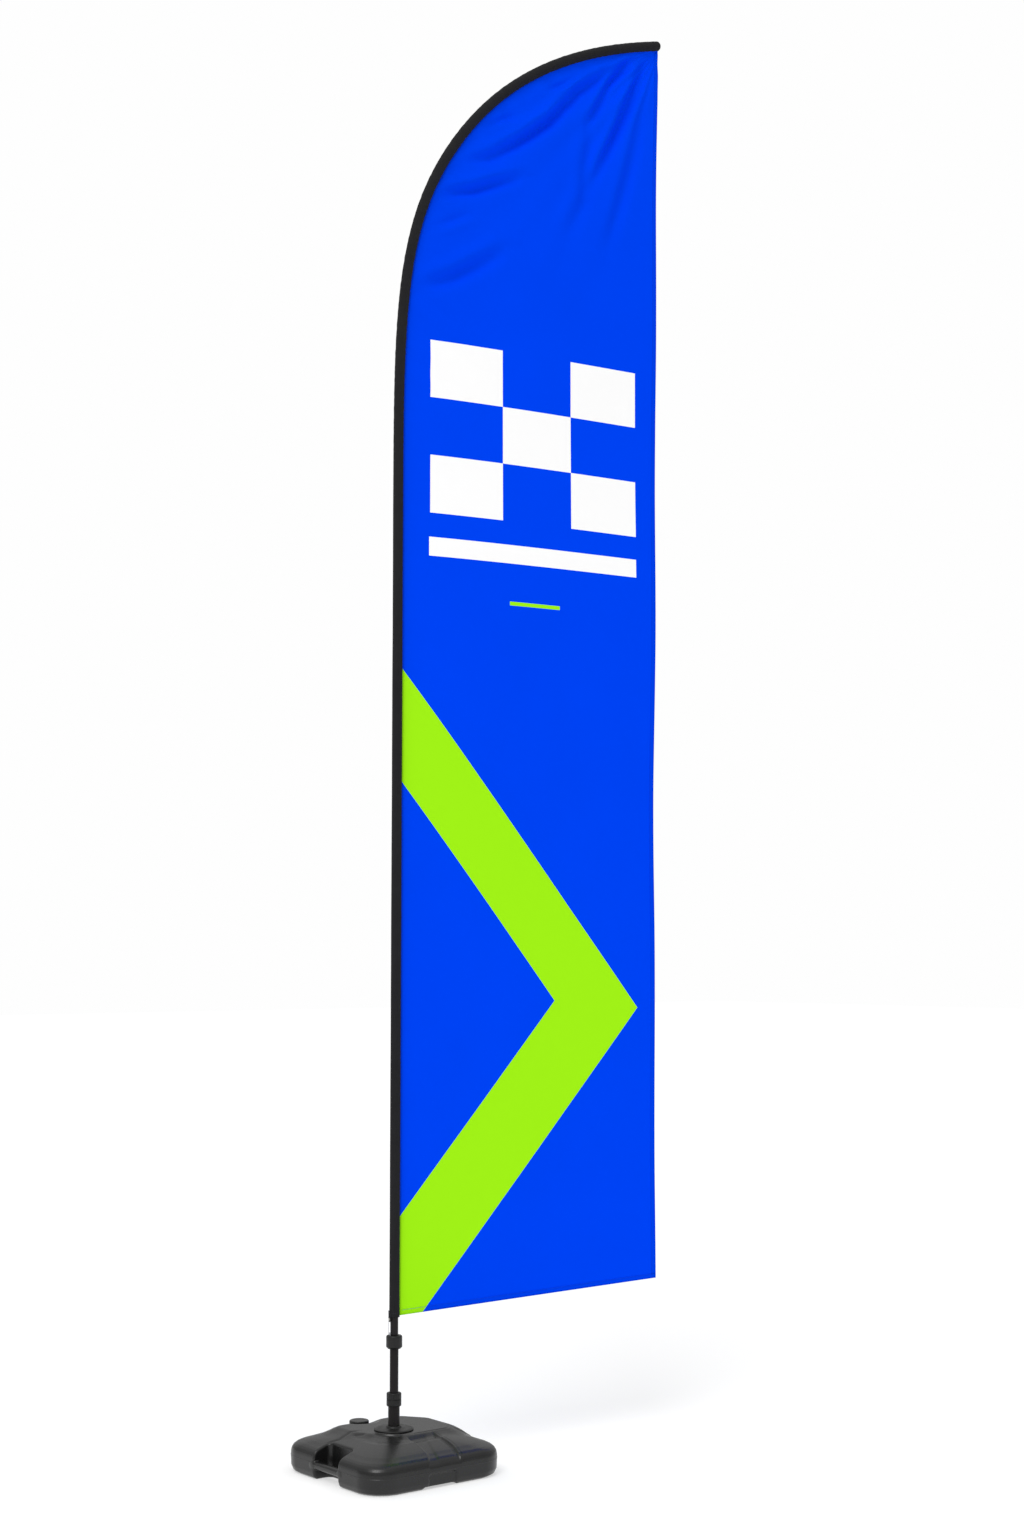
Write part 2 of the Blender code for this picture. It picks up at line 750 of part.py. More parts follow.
def swept(name, points, radius, sides_resolution, capped):
    """A bevelled poly curve made into a mesh, so that it can be welded or given a wall."""
    curve = bpy.data.curves.new(name, "CURVE")
    curve.dimensions = "3D"
    curve.bevel_depth = radius
    curve.bevel_resolution = sides_resolution
    curve.use_fill_caps = capped
    spline = curve.splines.new("POLY")
    spline.points.add(len(points) - 1)
    for slot, point in zip(spline.points, points):
        slot.co = (*point, 1)
    holder = bpy.data.objects.new(name + "_path", curve)
    CUTTERS.objects.link(holder)
    bpy.context.view_layer.update()
    evaluated = holder.evaluated_get(bpy.context.evaluated_depsgraph_get())
    mesh = bpy.data.meshes.new_from_object(evaluated)
    mesh.name = name
    bpy.data.objects.remove(holder, do_unlink=True)
    shape = bmesh.new()
    shape.from_mesh(mesh)
    bmesh.ops.remove_doubles(shape, verts=shape.verts, dist=0.00001)
    bmesh.ops.recalc_face_normals(shape, faces=shape.faces)
    shape.to_mesh(mesh)
    shape.free()
    return mesh


def tube_along(name, points, radius, wall, material, sides_resolution=6):
    part = add_part(name, swept(name, points, radius, sides_resolution, False), material, MAST)
    shade(part)
    modifier = part.modifiers.new("Wall", "SOLIDIFY")
    modifier.thickness = wall
    modifier.offset = -1
    return part


def on_mast_line(part, line, length):
    part.location = line.at(length)
    part.rotation_mode = "QUATERNION"
    part.rotation_quaternion = Vector((0, 0, 1)).rotation_difference(line.direction(length))


def make_pole(line):
    """Four sections, each standing in the one below, with a ferrule round each tube's mouth."""
    section = (line.total - TIP_INSET + 3 * SPIGOT) / 4
    radius = SECTION_RADIUS
    foot = 0.0
    for place, wall in zip(("lower", "middle", "upper"), TUBE_WALLS):
        mouth = foot + section
        tube_along("pole_" + place, line.stretch(foot, mouth), radius, wall, DARK_TUBE)
        around = radius + GAP + FERRULE_WALL
        held = line.stretch(mouth - FERRULE_LENGTH, mouth)
        tube_along("ferrule_" + place, held, around, FERRULE_WALL, STEEL)
        radius -= wall + GAP
        foot = mouth - SPIGOT
    end = line.total - TIP_INSET
    rod_mesh = swept("pole_tip", line.stretch(foot, end), radius, 3, True)
    shade(add_part("pole_tip", rod_mesh, DARK_TUBE, MAST))
    cap = turned(
        "tip_cap",
        [
            (0, TIP_CAP_NOSE),
            (TIP_CAP_RADIUS * 0.7, TIP_CAP_NOSE - 0.0015),
            (TIP_CAP_RADIUS, -0.003),
            (TIP_CAP_RADIUS, -TIP_CAP_LENGTH),
            (radius + GAP, -TIP_CAP_LENGTH),
            (radius + GAP, GAP),
            (0, GAP),
        ],
        RUBBER,
        SMALL_STEPS,
        parent=MAST,
    )
    on_mast_line(cap, line, end)


def make_sleeve(line):
    """The fabric tube over the pole, and the pocket that closes it over the tip cap."""
    foot = SLEEVE_FOOT - POLE_FOOT
    pocket_end = line.total - TIP_INSET + TIP_CAP_NOSE + GAP + SLEEVE_WALL
    mouth = pocket_end - POCKET_LENGTH
    points = line.stretch(foot, mouth - GAP)
    tube_along("pole_sleeve", points, SLEEVE_RADIUS, SLEEVE_WALL, DARK_FABRIC, 5)
    pocket = turned(
        "sleeve_pocket",
        [
            (0, 0),
            (SLEEVE_RADIUS - 0.004, 0),
            (SLEEVE_RADIUS, -0.004),
            (SLEEVE_RADIUS, -POCKET_LENGTH),
            (SLEEVE_BORE, -POCKET_LENGTH),
            (SLEEVE_BORE, -SLEEVE_WALL - 0.0035),
            (SLEEVE_BORE - 0.0035, -SLEEVE_WALL),
            (0, -SLEEVE_WALL),
        ],
        DARK_FABRIC,
        SMALL_STEPS,
        parent=MAST,
    )
    on_mast_line(pocket, line, pocket_end)


def make_panel(line):
    """The printed sheet, sewn along the sleeve and free along its far edge."""
    foot = SLEEVE_FOOT - POLE_FOOT + PANEL_FOOT_ABOVE_SLEEVE
    out = SLEEVE_RADIUS + GAP
    outline = []
    for mark in line.marks(foot, line.total - TIP_INSET):
        along = line.direction(mark)
        point = line.at(mark) + Vector((along.z, 0, -along.x)) * out
        outline.append((point.x, point.z))
    corner = outline[-1]
    first = outline[0]
    foot_corner = (first[0] + PANEL_FOOT_WIDTH, first[1] + PANEL_FOOT_RISE)
    for i in range(1, 12):
        share = 1 - i / 12
        x = foot_corner[0] + (corner[0] - foot_corner[0]) * share**FREE_EDGE_CURVE
        outline.append((x, foot_corner[1] + (corner[1] - foot_corner[1]) * share))
    outline.append(foot_corner)
    curve = bpy.data.curves.new("flag_panel", "CURVE")
    curve.dimensions = "2D"
    curve.fill_mode = "BOTH"
    curve.extrude = PANEL_THICKNESS / 2
    spline = curve.splines.new("POLY")
    spline.points.add(len(outline) - 1)
    spline.use_cyclic_u = True
    for slot, point in zip(spline.points, outline):
        slot.co = (*point, 0, 1)
    panel = add_part("flag_panel", curve, BLUE_FABRIC, MAST)
    panel.rotation_euler.x = math.pi / 2


def half_turn(centre, radius, rise, from_angle):
    """Points of a half circle or half ellipse, clockwise from an angle."""
    points = []
    for step in range(9):
        angle = from_angle - step / 8 * math.pi
        points.append((centre[0] + radius * math.cos(angle), centre[1] + rise * math.sin(angle)))
    return points


def cord_route():
    """One loop in the mast's plane: up the outer strand, through the eyelet, down the inner
    strand and under the staple's arch, back to where it began."""
    top = cord_top() - CORD_TURN
    bottom = cord_bottom() + CORD_TURN
    middle = (top + bottom) / 2
    outer = -TAB_FROM_AXIS - CORD_TURN
    route = [(outer, middle + GAP)]
    route += half_turn((-TAB_FROM_AXIS, top), CORD_TURN, CORD_TURN, math.pi)
    route += half_turn((-TAB_FROM_AXIS, bottom), CORD_TURN, CORD_TURN, 0)
    route.append((outer, middle - GAP))
    return [Vector((x, 0, z)) for x, z in route]


def cord_top():
    return SLEEVE_FOOT - TAB_BELOW_FOOT + CORD_CLEAR


def cord_bottom():
    return HUB_TOP + CORD_CLEAR


def make_tension_cord():
    tab_centre = -TAB_FROM_AXIS
    half_eyelet = TAB_THICKNESS / 2 + GAP + EYELET_WALL
    cord_drop = CORD_TURN - math.sqrt(CORD_TURN**2 - half_eyelet**2)
    eyelet_z = cord_top() - cord_drop - CORD_RADIUS - GAP + EYELET_BORE
    low = (tab_centre - TAB_THICKNESS / 2, -TAB_WIDTH / 2, SLEEVE_FOOT - TAB_BELOW_FOOT)
    high = (tab_centre + TAB_THICKNESS / 2, TAB_WIDTH / 2, SLEEVE_FOOT + TAB_ABOVE_FOOT)
    form = box_cutter("tab_form", low, high)
    tab = add_part("sleeve_tab", form.data.copy(), DARK_FABRIC, MAST)
    bpy.data.objects.remove(form, do_unlink=True)
    barrel = EYELET_BORE + EYELET_WALL
    hole = turned_cutter("tab_hole", rod(barrel + GAP, -0.005, 0.005), SMALL_STEPS)
    hole.parent = MAST
    hole.location = (tab_centre, 0, eyelet_z)
    hole.rotation_euler.y = math.pi / 2
    boolean(tab, hole)
    face = TAB_THICKNESS / 2 + GAP
    eyelet = turned(
        "tab_eyelet",
        [
            (EYELET_FLANGE, face + EYELET_WALL),
            (EYELET_FLANGE, face),
            (barrel, face),
            (barrel, -face),
            (EYELET_FLANGE, -face),
            (EYELET_FLANGE, -face - EYELET_WALL),
            (EYELET_BORE, -face - EYELET_WALL),
            (EYELET_BORE, face + EYELET_WALL),
        ],
        STEEL,
        SMALL_STEPS,
        parent=MAST,
    )
    eyelet.location = (tab_centre, 0, eyelet_z)
    eyelet.rotation_euler.y = math.pi / 2
    cord_mesh = swept("tension_cord", cord_route(), CORD_RADIUS, 2, True)
    shade(add_part("tension_cord", cord_mesh, CORD_GREY, MAST))
    arch_z = cord_bottom() + CORD_RADIUS + GAP + STAPLE_WIRE
    leg_foot = HUB_TOP + GAP
    arch_rise = (arch_z - leg_foot) * 0.6
    half_arch = half_turn((0, arch_z - arch_rise), STAPLE_HALF_WIDTH, arch_rise, math.pi)
    arch = [(-STAPLE_HALF_WIDTH, leg_foot), *half_arch, (STAPLE_HALF_WIDTH, leg_foot)]
    staple_route = [Vector((tab_centre, y, z)) for y, z in arch]
    staple_mesh = swept("hub_staple", staple_route, STAPLE_WIRE, 2, True)
    shade(add_part("hub_staple", staple_mesh, STEEL, MAST))


clear_scene()
PARTS = collection("feather_flag")
CUTTERS = collection("cutters")
BLACK_PLASTIC = finish("black_polyethylene", (43, 43, 43), 0.55)
DARK_TUBE = finish("dark_grey_tube", (38, 37, 38), 0.40, 0.4)
STEEL = finish("zinc_steel", (190, 192, 196), 0.35, 1.0)
BRASS = finish("brass", (190, 160, 90), 0.40, 1.0)
RUBBER = finish("black_rubber", (28, 28, 28), 0.80)
WHITE_PLASTIC = finish("white_acetal", (232, 232, 228), 0.45)
DARK_FABRIC = finish("charcoal_polyester", (38, 38, 41), 0.85)
BLUE_FABRIC = finish("blue_polyester", (0, 68, 247), 0.80)
CORD_GREY = finish("pale_grey_cord", (190, 192, 196), 0.80)

MAST = bpy.data.objects.new("mast_axis", None)
bpy.context.scene.collection.objects.link(MAST)
MAST.rotation_euler.z = FLAG_HEADING

make_base()
make_filler_cap()
make_post()
make_twist_lock()
make_riser()
make_hub()
MAST_LINE = MastLine()
make_pole(MAST_LINE)
make_sleeve(MAST_LINE)
make_panel(MAST_LINE)
make_tension_cord()
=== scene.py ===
"""Feather flag: its cloth, moulded skins and finishes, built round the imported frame.

Metres, in the frame's own axes. Pieces of the mast are drawn in the mast's upright plane,
with x towards the free edge, and turned to the flag's heading when they are placed.
"""

import math

import bmesh
import bpy
import numpy as np
from bpy.props import FloatProperty, FloatVectorProperty, IntProperty, PointerProperty
from bpy.types import Operator, Panel, PropertyGroup
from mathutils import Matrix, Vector
from mathutils.geometry import interpolate_bezier


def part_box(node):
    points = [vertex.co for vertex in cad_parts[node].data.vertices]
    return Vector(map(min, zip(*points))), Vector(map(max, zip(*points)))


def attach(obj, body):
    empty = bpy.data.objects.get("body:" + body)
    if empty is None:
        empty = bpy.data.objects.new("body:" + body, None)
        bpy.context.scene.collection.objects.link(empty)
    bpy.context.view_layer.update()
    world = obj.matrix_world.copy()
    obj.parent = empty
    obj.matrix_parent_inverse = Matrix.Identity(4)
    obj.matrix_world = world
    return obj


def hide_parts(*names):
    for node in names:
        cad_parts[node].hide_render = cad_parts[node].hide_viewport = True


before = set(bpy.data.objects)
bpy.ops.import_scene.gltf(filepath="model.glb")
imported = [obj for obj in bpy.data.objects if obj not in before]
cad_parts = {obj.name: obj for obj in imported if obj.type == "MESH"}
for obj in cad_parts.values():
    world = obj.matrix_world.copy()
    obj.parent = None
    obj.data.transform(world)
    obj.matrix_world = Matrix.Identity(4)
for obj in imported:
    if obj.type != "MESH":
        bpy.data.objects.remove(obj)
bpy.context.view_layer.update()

bl_info = {
    "name": "Feather Flag",
    "version": (1, 0, 0),
    "blender": (4, 5, 0),
    "location": "View3D > Sidebar > Feather Flag",
    "description": "Builds a feather flag's cloth, moulded skins and finishes round its frame",
    "category": "Object",
}

# Places read from the frame
HALF_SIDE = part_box("base_tank")[1].x
POST_DEPTH = 0.0824  # of the post's foot below the pad's top
PAD_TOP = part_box("base_post")[0].z + POST_DEPTH
POST_FOOT, POST_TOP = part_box("base_post")[0].z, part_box("base_post")[1].z
POST_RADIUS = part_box("base_post")[1].x
RISER_FOOT, RISER_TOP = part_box("riser_tube")[0].z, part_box("riser_tube")[1].z
RISER_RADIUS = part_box("riser_tube")[1].x
POLE_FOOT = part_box("pole_lower")[0].z
HUB_FOOT, HUB_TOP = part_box("hub_collar")[0].z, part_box("hub_collar")[1].z
SLEEVE_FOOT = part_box("pole_sleeve")[0].z
CAP_FOOT, CAP_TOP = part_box("filler_cap")[0].z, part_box("filler_cap")[1].z
FILLER_Y = (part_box("filler_cap")[0].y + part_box("filler_cap")[1].y) / 2
NECK_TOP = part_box("filler_gasket")[0].z - 0.0003
BOSS_TOP = CAP_FOOT - 0.0006
GAP = 0.0003

# Outline of the tank's wall and top: inset from the side, height
WALL_OUTLINE = (
    (0.0140, 0.0),
    (0.0052, 0.006),
    (0.0010, 0.018),
    (0.0, 0.045),
    (0.0004, 0.056),
    (0.0020, 0.0640),
    (0.0055, 0.0710),
    (0.0105, 0.0760),
    (0.0180, 0.0800),
    (0.0280, 0.0835),
)
SLOPE_REACH = 0.072
SLOPE_CURVE = 0.8
SHOULDER_HEIGHT = 0.0835
LOBE_HEIGHT = 0.1035
TANK_CORNER = 0.078
SEAM_HEIGHT = 0.045

# Raised pad that carries the post: its corners as (x, y) places, and its edge as pairs of how far
# in from them (below zero: outside) and height from its top
PAD_CORNERS = (
    (-0.005, -0.070),
    (0.132, -0.070),
    (0.160, -0.040),
    (0.160, 0.070),
    (0.115, 0.134),
    (-0.100, 0.136),
    (-0.100, 0.045),
    (-0.058, -0.052),
)
PAD_ROUNDING = 0.022
PAD_OUTLINE = ((-0.060, -0.033), (-0.040, -0.0185), (-0.020, -0.0075), (-0.007, -0.0020), (0.0, 0.0))

# Lines moulded into the front of the top, from the pad's foot out to the shoulder
FRONT_EDGE = ((-0.083, -0.016), (-0.122, -0.018), (-0.159, -0.023), (-0.189, -0.027), (-0.224, -0.043))
PANEL_EDGE = ((-0.083, 0.046), (-0.126, 0.024), (-0.164, 0.009), (-0.192, 0.0), (-0.224, -0.008))
CHANNEL_EDGE = ((-0.083, 0.076), (-0.150, 0.074), (-0.174, 0.072), (-0.209, 0.064), (-0.224, 0.062))
LEFT_CREASE = ((-0.181, 0.063), (-0.147, 0.048), (-0.105, 0.056), (-0.081, 0.045))
LOBE_CREASE = ((-0.112, 0.030), (-0.100, 0.018), (-0.090, 0.008))
RIGHT_CREASE = ((0.156, -0.063), (0.182, -0.072), (0.214, -0.080))

# Grip pocket and its bar on the -X side, and the arch under the -Y side
GRIP_HALF = 0.0575
GRIP_BACK = HALF_SIDE - 0.056
BAR_BACK = HALF_SIDE - 0.022
BAR_LOW, BAR_HIGH = 0.028, 0.048
ARCH_HALF, ARCH_HEIGHT, ARCH_BACK = 0.055, 0.007, HALF_SIDE - 0.029

# The pole's line, as in the frame: straight, then two smooth stretches to the tip
BEND_RISE = 1.620
BEND_REACH = 0.916
FLAG_HEIGHT = 3.833
KNEE = (0.199, 1.1825)
KNEE_ANGLE = math.radians(54.5)
TIP_ANGLE = math.radians(13.2)
BEND_HANDLES = (0.6255, 0.354, 0.280, 0.324)
TIP_INSET = 0.012

# Soft folds of the sheet as (x, height) routes, with their depth and half width
FOLDS = (
    (((0.88, 4.22), (0.85, 4.16), (0.80, 4.05), (0.76, 3.96), (0.70, 3.84), (0.66, 3.74)), 0.0126, 0.017),
    (((0.84, 4.21), (0.795, 4.17), (0.73, 4.085), (0.68, 4.005), (0.645, 3.94)), 0.0105, 0.014),
    (
        ((0.79, 4.16), (0.725, 4.115), (0.615, 4.04), (0.505, 3.92), (0.41, 3.845), (0.30, 3.77),
         (0.205, 3.735)),
        0.0140, 0.018,
    ),
    (((0.42, 3.735), (0.335, 3.70), (0.245, 3.66), (0.165, 3.637), (0.11, 3.63)), 0.0105, 0.017),
    (((0.36, 3.50), (0.295, 3.457), (0.18, 3.386), (0.06, 3.335)), 0.0098, 0.022),
    (((0.86, 4.05), (0.82, 3.883), (0.77, 3.722), (0.715, 3.561)), 0.0070, 0.022),
    (((0.66, 3.96), (0.655, 3.90), (0.632, 3.696), (0.563, 3.566)), 0.0063, 0.024),
    (((0.29, 3.872), (0.34, 3.895), (0.39, 3.918)), 0.0056, 0.011),
    (((0.50, 4.02), (0.56, 4.05), (0.62, 4.10)), 0.0049, 0.010),
    (((0.10, 3.52), (0.16, 3.55), (0.24, 3.59)), 0.0042, 0.013),
)

# Print, in the sheet's own plane: (x, height) pairs
CHEVRON_OUTER = ((0.0149, 2.2243), (0.810, 1.2562), (0.0899, 0.4254))
CHEVRON_INNER = ((0.0165, 1.8997), (0.5154, 1.2801), (0.0164, 0.6907))
BLOCK_LOW, BLOCK_HIGH = (0.100, 2.680), (0.813, 3.188)
BAR_MARK_LOW, BAR_MARK_HIGH = (0.097, 2.5545), (0.8125, 2.6095)
DASH_LOW, DASH_HIGH = (0.3606, 2.4305), (0.5329, 2.4420)


def linear(hex_colour):
    """Linear red, green and blue of an sRGB hex colour."""
    shares = [int(hex_colour[i : i + 2], 16) / 255 for i in (1, 3, 5)]
    return tuple(s / 12.92 if s <= 0.04045 else ((s + 0.055) / 1.055) ** 2.4 for s in shares)


class FlagTank(PropertyGroup):
    """The moulded tank under the flag."""

    skin_step: FloatProperty(
        name="Skin step", description="Spacing of the skin's faces", default=0.00265, unit="LENGTH"
    )
    moulded_radius: FloatProperty(
        name="Moulded radius", description="Softness of moulded edges", default=0.006, unit="LENGTH"
    )
    seam_bead: FloatProperty(
        name="Seam bead", description="Radius of the moulding's parting line", default=0.0009,
        unit="LENGTH",
    )
    colour: FloatVectorProperty(
        name="Plastic", description="Polyethylene colour", subtype="COLOR", default=linear("#121212")
    )


class FlagMast(PropertyGroup):
    """The tubes, fittings and sleeve of the mast."""

    heading: FloatProperty(
        name="Heading", description="Which way the sheet flies", default=math.radians(-8.0),
        subtype="ANGLE", unit="ROTATION",
    )
    round_steps: IntProperty(name="Round steps", description="Faces round a turned piece", default=96)
    tube_colour: FloatVectorProperty(
        name="Tube", description="Anodised tube colour", subtype="COLOR", default=linear("#262425")
    )
    fitting_colour: FloatVectorProperty(
        name="Fittings", description="Moulded nylon colour", subtype="COLOR", default=linear("#161616")
    )
    sleeve_radius: FloatProperty(
        name="Sleeve radius", description="Of the fabric tube", default=0.0142, unit="LENGTH"
    )
    sleeve_wall: FloatProperty(
        name="Sleeve wall", description="Thickness of its fabric", default=0.0009, unit="LENGTH"
    )
    sleeve_colour: FloatVectorProperty(
        name="Sleeve", description="Sleeve fabric colour", subtype="COLOR", default=linear("#212123")
    )
    cord_radius: FloatProperty(
        name="Cord radius", description="Of the tension cord", default=0.00075, unit="LENGTH"
    )


class FlagSheet(PropertyGroup):
    """The printed sheet."""

    foot_width: FloatProperty(
        name="Foot width", description="Along the lower edge", default=0.857, unit="LENGTH"
    )
    foot_rise: FloatProperty(
        name="Foot rise", description="Of the lower edge, to the free corner", default=0.038,
        unit="LENGTH",
    )
    edge_curve: FloatProperty(
        name="Edge curve", description="How late the free edge leans out to the tip", default=1.7
    )
    thickness: FloatProperty(
        name="Thickness", description="Of the cloth", default=0.0005, unit="LENGTH"
    )
    hem_width: FloatProperty(
        name="Hem width", description="Of the turned hems", default=0.016, unit="LENGTH"
    )
    billow: FloatProperty(
        name="Billow", description="How far the sheet bellies out", default=0.016, unit="LENGTH"
    )
    rows: IntProperty(name="Rows", description="Of faces, from foot to tip", default=450)
    columns: IntProperty(name="Columns", description="Of faces, across the sheet", default=92)
    field: FloatVectorProperty(
        name="Field", description="Printed ground colour", subtype="COLOR", default=linear("#0043F4")
    )
    chevron: FloatVectorProperty(
        name="Chevron", description="Printed chevron colour", subtype="COLOR", default=linear("#A1F218")
    )
    mark: FloatVectorProperty(
        name="Mark", description="Printed mark colour", subtype="COLOR", default=linear("#FFFFFF")
    )


class FlagStage(PropertyGroup):
    """The camera, floor and light."""

    azimuth: FloatProperty(
        name="Azimuth", description="Of the camera round the pole", default=math.radians(-35.5),
        subtype="ANGLE", unit="ROTATION",
    )
    distance: FloatProperty(
        name="Distance", description="Camera to the pole", default=6.01, unit="LENGTH"
    )
    height: FloatProperty(name="Height", description="Of the camera", default=1.42, unit="LENGTH")
    pitch: FloatProperty(
        name="Pitch", description="Camera's tilt from straight down", default=math.radians(94.94),
        subtype="ANGLE", unit="ROTATION",
    )
    turn: FloatProperty(
        name="Turn", description="Camera's turn from the far axis", default=math.radians(-38.6),
        subtype="ANGLE", unit="ROTATION",
    )
    key: FloatProperty(name="Key light", description="Strength of the soft key", default=1.15)
    fill: FloatProperty(name="Fill light", description="Strength of the surroundings", default=0.46)


def settings_tank():
    return bpy.context.scene.flag_tank


def settings_mast():
    return bpy.context.scene.flag_mast


def settings_sheet():
    return bpy.context.scene.flag_sheet


def settings_stage():
    return bpy.context.scene.flag_stage


# Materials


def add_node(tree, kind, inputs=None, **settings):
    """Adds a node with its settings, and sets or links its inputs."""
    node = tree.nodes.new(kind)
    for name, value in settings.items():
        setattr(node, name, value)
    for name, value in (inputs or {}).items():
        if isinstance(value, bpy.types.NodeSocket):
            tree.links.new(value, node.inputs[name])
        else:
            node.inputs[name].default_value = value
    return node


def start_finish(name, colour, roughness, **shader_values):
    """A material's tree and shader, with what is the same all over set on the shader itself."""
    if name in bpy.data.materials:
        return bpy.data.materials[name], None, None
    made = bpy.data.materials.new(name)
    made.use_nodes = True
    shader = made.node_tree.nodes["Principled BSDF"]
    shader.inputs["Base Color"].default_value = (*colour, 1.0)
    shader.inputs["Roughness"].default_value = roughness
    for socket, value in shader_values.items():
        shader.inputs[socket.replace("_", " ")].default_value = value
    return made, made.node_tree, shader


def shades(colour, spread):
    """A darker and a lighter shade of a colour."""
    dark = tuple(c * (1 - spread) for c in colour)
    light = tuple(min(c * (1 + spread), 1.0) for c in colour)
    return (*dark, 1.0), (*light, 1.0)


def moulded_polyethylene():
    """Blow-moulded black polyethylene: a waxy satin skin with a faint pebble, paler on worn edges."""
    colour = tuple(settings_tank().colour)
    made, tree, shader = start_finish(
        "Blow-moulded polyethylene", colour, 0.3, IOR=1.50, Specular_IOR_Level=0.45
    )
    if tree is None:
        return made
    place = add_node(tree, "ShaderNodeTexCoord").outputs["Object"]
    # Clouds about 60 mm across, from uneven cooling
    clouds = add_node(
        tree, "ShaderNodeTexNoise", {"Vector": place, "Scale": 1 / 0.060, "Detail": 3.0}
    )
    # The real pebble is about 0.5 mm; it is drawn at 2.5 mm, to show
    pebble = add_node(
        tree, "ShaderNodeTexNoise",
        {"Vector": place, "Scale": 1 / 0.0025, "Detail": 2.0, "Roughness": 0.6},
    )
    scuffs = add_node(
        tree, "ShaderNodeTexNoise",
        {"Vector": place, "Scale": 1 / 0.012, "Detail": 6.0, "Roughness": 0.75, "Distortion": 1.5},
    )
    bend = add_node(tree, "ShaderNodeNewGeometry").outputs["Pointiness"]
    worn = add_node(
        tree, "ShaderNodeMapRange",
        {"Value": bend, "From Min": 0.505, "From Max": 0.560, "To Min": 0.0, "To Max": 0.5},
    )
    worn_patches = add_node(
        tree, "ShaderNodeMath",
        {0: worn.outputs[0], 1: scuffs.outputs["Fac"]}, operation="MULTIPLY",
    )
    dark, light = shades(colour, 0.22)
    ground = add_node(
        tree, "ShaderNodeMix",
        {"Factor": clouds.outputs["Fac"], "A": dark, "B": light}, data_type="RGBA",
    )
    paler = (*tuple(c * 2.4 + 0.006 for c in colour), 1.0)
    edges = add_node(
        tree, "ShaderNodeMix",
        {"Factor": worn_patches.outputs[0], "A": ground.outputs[2], "B": paler}, data_type="RGBA",
    )
    tree.links.new(edges.outputs[2], shader.inputs["Base Color"])
    rough = add_node(
        tree, "ShaderNodeMapRange",
        {"Value": scuffs.outputs["Fac"], "From Min": 0.3, "From Max": 0.7, "To Min": 0.25, "To Max": 0.36},
    )
    tree.links.new(rough.outputs[0], shader.inputs["Roughness"])
    skin = add_node(
        tree, "ShaderNodeBump",
        {"Height": pebble.outputs["Fac"], "Strength": 0.35, "Distance": 0.0005},
    )
    tree.links.new(skin.outputs[0], shader.inputs["Normal"])
    return made


def moulded_nylon():
    """Injection-moulded black nylon: tighter and a little glossier than the tank."""
    colour = tuple(settings_mast().fitting_colour)
    made, tree, shader = start_finish(
        "Injection-moulded nylon", colour, 0.42, IOR=1.53, Specular_IOR_Level=0.3
    )
    if tree is None:
        return made
    place = add_node(tree, "ShaderNodeTexCoord").outputs["Object"]
    # Spark-eroded mould grain of about 0.2 mm, drawn at 1 mm
    grain = add_node(tree, "ShaderNodeTexNoise", {"Vector": place, "Scale": 1 / 0.001, "Detail": 1.0})
    handling = add_node(
        tree, "ShaderNodeTexNoise", {"Vector": place, "Scale": 1 / 0.015, "Detail": 4.0}
    )
    dark, light = shades(colour, 0.15)
    ground = add_node(
        tree, "ShaderNodeMix",
        {"Factor": handling.outputs["Fac"], "A": dark, "B": light}, data_type="RGBA",
    )
    tree.links.new(ground.outputs[2], shader.inputs["Base Color"])
    rough = add_node(
        tree, "ShaderNodeMapRange",
        {"Value": handling.outputs["Fac"], "From Min": 0.3, "From Max": 0.7, "To Min": 0.36,
         "To Max": 0.50},
    )
    tree.links.new(rough.outputs[0], shader.inputs["Roughness"])
    skin = add_node(
        tree, "ShaderNodeBump",
        {"Height": grain.outputs["Fac"], "Strength": 0.25, "Distance": 0.0002},
    )
    tree.links.new(skin.outputs[0], shader.inputs["Normal"])
    return made


def anodised_tube():
    """Black anodised aluminium: a dark metal with fine die lines drawn along the tube."""
    colour = tuple(settings_mast().tube_colour)
    made, tree, shader = start_finish("Black anodised aluminium", colour, 0.34, Metallic=0.85)
    if tree is None:
        return made
    place = add_node(tree, "ShaderNodeTexCoord").outputs["Object"]
    # Die lines about 0.3 mm apart, drawn at 1.2 mm and 80 mm long
    stretched = add_node(
        tree, "ShaderNodeMapping", {"Vector": place, "Scale": (1 / 0.0012, 1 / 0.0012, 1 / 0.080)}
    )
    lines = add_node(
        tree, "ShaderNodeTexNoise", {"Vector": stretched.outputs[0], "Scale": 1.0, "Detail": 2.0}
    )
    rough = add_node(
        tree, "ShaderNodeMapRange",
        {"Value": lines.outputs["Fac"], "From Min": 0.3, "From Max": 0.7, "To Min": 0.30, "To Max": 0.42},
    )
    dark, light = shades(colour, 0.12)
    ground = add_node(
        tree, "ShaderNodeMix",
        {"Factor": lines.outputs["Fac"], "A": dark, "B": light}, data_type="RGBA",
    )
    tree.links.new(ground.outputs[2], shader.inputs["Base Color"])
    tree.links.new(rough.outputs[0], shader.inputs["Roughness"])
    skin = add_node(
        tree, "ShaderNodeBump", {"Height": lines.outputs["Fac"], "Strength": 0.15, "Distance": 0.0001}
    )
    tree.links.new(skin.outputs[0], shader.inputs["Normal"])
    return made


